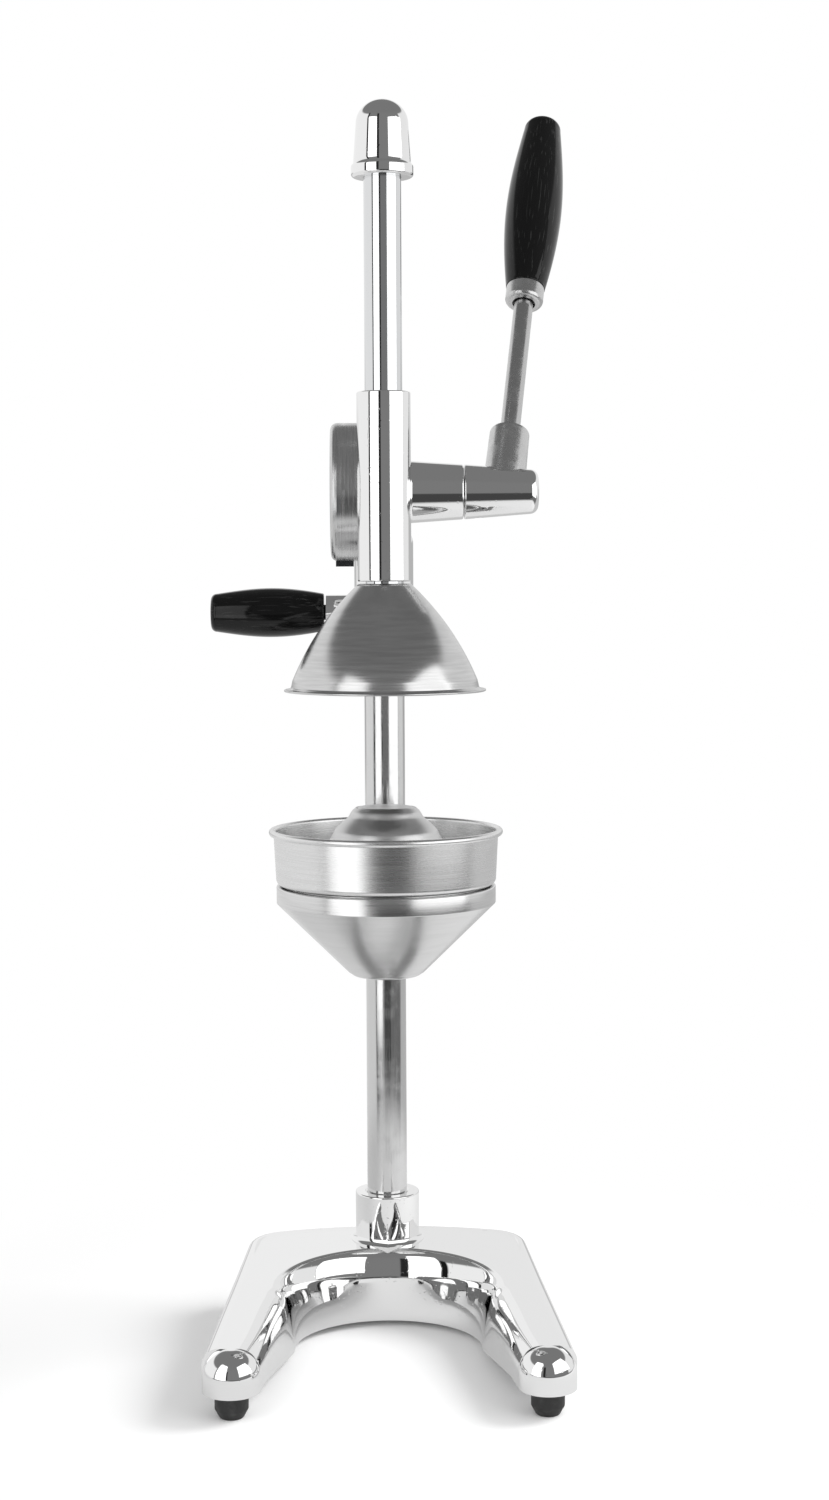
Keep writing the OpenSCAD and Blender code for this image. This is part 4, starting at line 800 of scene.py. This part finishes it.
# head: guide tube, gear housing, collar on the column, shaft boss, rib and steady boss in one casting
head = {"tubeR": 15.75, "bottom": 462.5, "tubeH": 110, "edge": 0.9, "bore": 11.05, "boreEdge": 0.7,
        "housingR": 42, "housingIn": 38.5, "housingEdge": 0.8, "left": -15.5, "right": 14.5, "blend": 3,
        "bossR": 18.5, "bossTipR": 16.5, "bossEnd": 47.9, "bossFillet": 3, "bossEdge": 1.1, "bushR": 10.1,
        "chamberTo": 7.8, "columnY": 82.5, "collarR": 18.3, "collarFrom": 428, "collarH": 69.65,
        "collarEdge": 2, "crown": 12, "columnBore": 12.6, "columnTo": 485.15, "steadyX": -36,
        "steadyZ": 443.4, "steadyR": 10.8, "steadyBore": 4, "steadyEnd": 11.5, "ribHalf": 5,
        "ribLow": (16, -12), "ribTop": (14, 8), "ribIn": (3, 4), "lockR": 3, "lockY": 10.5,
        "locks": (466, 444), "sink": 0.01}


def makeHead():
    h = head
    top, edge = h["bottom"] + h["tubeH"], h["edge"]
    outline = joined([0, h["bottom"]], footRound(h["tubeR"], h["bottom"], edge, 8),
                     topRound(h["tubeR"], top, edge, 8), [0, top])
    body = turned("headCasting", outline)
    width = h["right"] - h["left"]
    shaft = onShaft(0)
    outline = joined([0, 0], footRound(h["housingR"], 0, h["housingEdge"], 6),
                     topRound(h["housingR"], width, h["blend"]), [0, width])
    housing = turned("tool", outline, None, (toRight, shaft + [h["left"], 0, 0]))
    length, fillet = h["bossEnd"] - h["right"], h["bossFillet"]
    outline = joined([0, -h["sink"]], arc(h["bossR"] + fillet, fillet, fillet, 270, 180),
                     topRound(h["bossTipR"], length, h["bossEdge"], 8, 4), [0, length])
    boss = turned("tool", outline, None, (toRight, shaft + [h["right"] - h["sink"], 0, 0]))
    column = np.array([0, h["columnY"], h["collarFrom"]])
    outline = joined([0, 0], footRound(h["collarR"], 0, h["collarEdge"], 8),
                     topRound(h["collarR"], h["collarH"], h["crown"], 24), [0, h["collarH"]])
    collar = turned("tool", outline, None, (upright, column))
    ribX, ribY = h["tubeR"] - h["ribIn"][0], h["columnY"] - h["collarR"] + h["ribIn"][1]
    half, low, high = h["ribHalf"], h["bottom"], shaftAxis[2] - h["housingR"]
    rib = prism("tool", [[ribX, low + h["ribLow"][0]], [ribY, low + h["ribLow"][1]],
                         [ribY, high + h["ribTop"][1]], [ribX, high + h["ribTop"][0]]], -half, half)
    steadyBoss = rod(h["steadyX"], h["columnY"], h["steadyZ"], h["steadyR"], -h["steadyX"], toRight)
    steadyDeep = -h["steadyX"] - h["steadyEnd"]
    tools = [turned("tool", boreWith(h["bore"], h["bottom"] - 1, top, h["boreEdge"])),
             rod(*onShaft(h["left"] - 1), h["housingIn"], h["chamberTo"] - h["left"] + 1, toRight, 192),
             rod(*shaft, h["bushR"], h["bossEnd"] + 1, toRight),
             rod(0, h["columnY"], h["collarFrom"] - 1, h["columnBore"], h["columnTo"] - h["collarFrom"] + 1),
             rod(h["steadyX"] - 1, h["columnY"], h["steadyZ"], h["steadyBore"], steadyDeep, toRight, 48)]
    tools += [rod(0, h["columnY"] + h["lockY"], z, h["lockR"], h["collarR"], toBack, 48) for z in h["locks"]]
    steps = [("UNION", [housing, boss, collar, rib, steadyBoss]), ("DIFFERENCE", tools)]
    keep(carved(body, steps, chromeTurned), "head_casting", "stand")


# studio: white floor and backdrop for the eye, and the darker room and the two soft boxes that reflections show
studio = {
    "room": 0.21, "roomFrom": (-12, -6), "ceiling": 0.2, "ceilingFrom": (36, 48), "backdrop": 1.0,
    "floorSeen": 0.5, "mirror": 0.5, "plain": 0.6, "paper": 0.95, "tableEdge": (420, 620), "beyond": 0.06,
    "cleanFrom": (150, 420), "floorWide": 2500, "floorBack": 3500, "wallSoft": 6,
    "walls": [  # turn from the camera's side in degrees from and to, softness, height up to, level
        (84, 182, 6, 35, 0.88), (-182, -68, 3, 35, 0.95), (128, 190, 14, 4, 0.5), (-190, -135, 14, 4, 0.55),
        (-67, -60, 1, 40, 0.01), (-22, -13, 2, 40, 0.02)],
    "floors": [  # what lies beyond the table's edge: turn from and to, softness, level
        (-46, -12, 8, 0.35), (30, 95, 8, 0.17), (95, 190, 12, 0.6), (-190, -66, 6, 0.85)],
    "boxes": [  # name, turn of the middle, distance, half width, lowest and highest edge in mm, radiance
        ("leftSoftBox", -41, 800, 275, 5, 1080, 1.35), ("rightSoftBox", 56, 800, 470, 165, 1080, 1.35)],
    "key": {"place": (900, 220, 850), "aim": (-100, 0, 0), "size": 700, "watts": 11.0}}


def betweenTwo(tree, value, low, high, soft):
    return math2(tree, "MULTIPLY", spread(tree, value, low - soft / 2, low + soft / 2),
                 spread(tree, value, high - soft / 2, high + soft / 2, 1.0, 0.0))


def blendNumbers(tree, share, a, b):
    return addNode(tree, "Mix", {"Factor": share, "A": a, "B": b}).outputs["Result"]


def mixShaders(tree, share, a, b):
    return addNode(tree, "MixShader", {0: share, 1: a.outputs[0], 2: b.outputs[0]})


# degrees round from the camera's side, to the right above 0
def turnOf(tree, x, y):
    return math2(tree, "MULTIPLY", math2(tree, "ARCTAN2", x, math2(tree, "MULTIPLY", y, -1.0)), 180 / math.pi)


def makeWorld():
    s = studio
    world = bpy.data.worlds.new("studio")
    bpy.context.scene.world = world
    world.use_nodes = True
    tree = world.node_tree
    tree.nodes.clear()
    direction = addNode(tree, "TexCoord").outputs["Generated"]
    x, y, z = addNode(tree, "SeparateXYZ", {0: direction}).outputs
    turn = turnOf(tree, x, y)
    height = math2(tree, "MULTIPLY", math2(tree, "ARCSINE", z), 180 / math.pi)
    level = spread(tree, height, *s["roomFrom"], s["beyond"], s["room"])
    for start, end, soft, top, bright in s["walls"]:
        mask = math2(tree, "MULTIPLY", betweenTwo(tree, turn, start, end, soft),
                     betweenTwo(tree, height, -90, top, s["wallSoft"]))
        level = blendNumbers(tree, mask, level, bright)
    level = blendNumbers(tree, spread(tree, height, *s["ceilingFrom"]), level, s["ceiling"])
    ray = addNode(tree, "LightPath").outputs
    level = blendNumbers(tree, ray["Is Glossy Ray"], s["plain"], level)
    level = blendNumbers(tree, ray["Is Transmission Ray"], level, s["backdrop"])
    level = blendNumbers(tree, ray["Is Camera Ray"], level, s["backdrop"])
    light = addNode(tree, "Background", {"Color": (1, 1, 1, 1), "Strength": level})
    addNode(tree, "OutputWorld", {"Surface": light.outputs[0]})


# the floor is white paper to the eye with the object's shadow on it; reflections see it end at the table's edge
def makeFloor():
    s = studio
    material = bpy.data.materials.new("white paper sweep")
    material.use_nodes = True
    tree = material.node_tree
    tree.nodes.clear()
    ray = addNode(tree, "LightPath").outputs
    x, y, z = addNode(tree, "SeparateXYZ", {0: objectPlace(tree)}).outputs
    turn = turnOf(tree, x, y)
    far = addNode(tree, "VectorMath", {0: objectPlace(tree)}, operation="LENGTH").outputs["Value"]
    edge = spread(tree, far, *(d * mm for d in s["tableEdge"]), 1.0, 0.0)
    level = s["beyond"]
    for start, end, soft, bright in s["floors"]:
        level = blendNumbers(tree, betweenTwo(tree, turn, start, end, soft), level, bright)
    paper = addNode(tree, "BsdfDiffuse", {"Color": (s["paper"], s["paper"], s["paper"], 1)})
    white = addNode(tree, "Emission", {"Strength": s["backdrop"]})
    shine = addNode(tree, "Emission", {"Strength": s["floorSeen"]})
    dark = addNode(tree, "Emission", {"Strength": level})
    clean = spread(tree, far, *(d * mm for d in s["cleanFrom"]))
    camera = mixShaders(tree, clean, paper, white)
    mirror = mixShaders(tree, edge, dark, mixShaders(tree, s["mirror"], paper, shine))
    unseen = mixShaders(tree, ray["Is Glossy Ray"], paper, mirror)
    last = mixShaders(tree, ray["Is Camera Ray"], unseen, camera)
    addNode(tree, "OutputMaterial", {0: last.outputs[0]})
    wide, back = s["floorWide"], s["floorBack"]
    corners = [[-wide, -wide, 0], [wide, -wide, 0], [wide, back, 0], [-wide, back, 0]]
    meshFrom("whiteFloor", corners, [(0, 1, 2, 3)], material)


# hangs a lamp up at a place in mm, unseen by the camera
def hangLamp(name, lamp, place, facing):
    holder = inScene(name, lamp)
    holder.location = [c * mm for c in place]
    holder.rotation_euler = facing
    holder.visible_camera = False
    return holder


# soft boxes that face the press: power is radiance times pi times area
def makeLamps():
    for name, turn, away, half, low, high, level in studio["boxes"]:
        lamp = bpy.data.lights.new(name, "AREA")
        lamp.shape = "RECTANGLE"
        lamp.size, lamp.size_y = 2 * half * mm, (high - low) * mm
        lamp.energy = level * math.pi * lamp.size * lamp.size_y
        a = math.radians(turn)
        hangLamp(name, lamp, (away * math.sin(a), -away * math.cos(a), (low + high) / 2), (math.pi / 2, 0, a))


# broad light from the right for the floor's soft shadow, left out of the reflections
def makeKeyLight():
    k = studio["key"]
    lamp = bpy.data.lights.new("keyLight", "AREA")
    lamp.shape, lamp.size, lamp.energy = "DISK", k["size"] * mm, k["watts"]
    toward = Vector(k["aim"]) - Vector(k["place"])
    holder = hangLamp("keyLight", lamp, k["place"], toward.to_track_quat("-Z", "Y").to_euler())
    holder.visible_glossy = holder.visible_transmission = False


view = {"place": (-6.46, -1350.1, 465.0), "pitch": 4.3, "heading": -1.0, "roll": 0.27, "lens": 55.2,
        "sensor": 36.0, "clip": 0.01}


def makeCamera():
    camera = bpy.data.cameras.new("camera")
    camera.sensor_fit = "VERTICAL"
    camera.sensor_height = camera.sensor_width = view["sensor"]
    camera.lens = view["lens"]
    camera.clip_start = view["clip"]
    holder = inScene("camera", camera)
    turn = (Matrix.Rotation(math.radians(view["heading"]), 3, "Z")
            @ Matrix.Rotation(math.radians(90 - view["pitch"]), 3, "X")
            @ Matrix.Rotation(math.radians(-view["roll"]), 3, "Z"))
    holder.rotation_euler = turn.to_euler()
    holder.location = [c * mm for c in view["place"]]
    bpy.context.scene.camera = holder


makeWorld()
makeFloor()
makeLamps()
makeKeyLight()
makeCamera()
bpy.context.scene.view_settings.view_transform = "Standard"
print("studio and camera made")

makeCap()
makeBell()
makeGrips()
makeHub()
makeBase()
makeBowl()
makeCone()
makeFunnel()
makeHead()
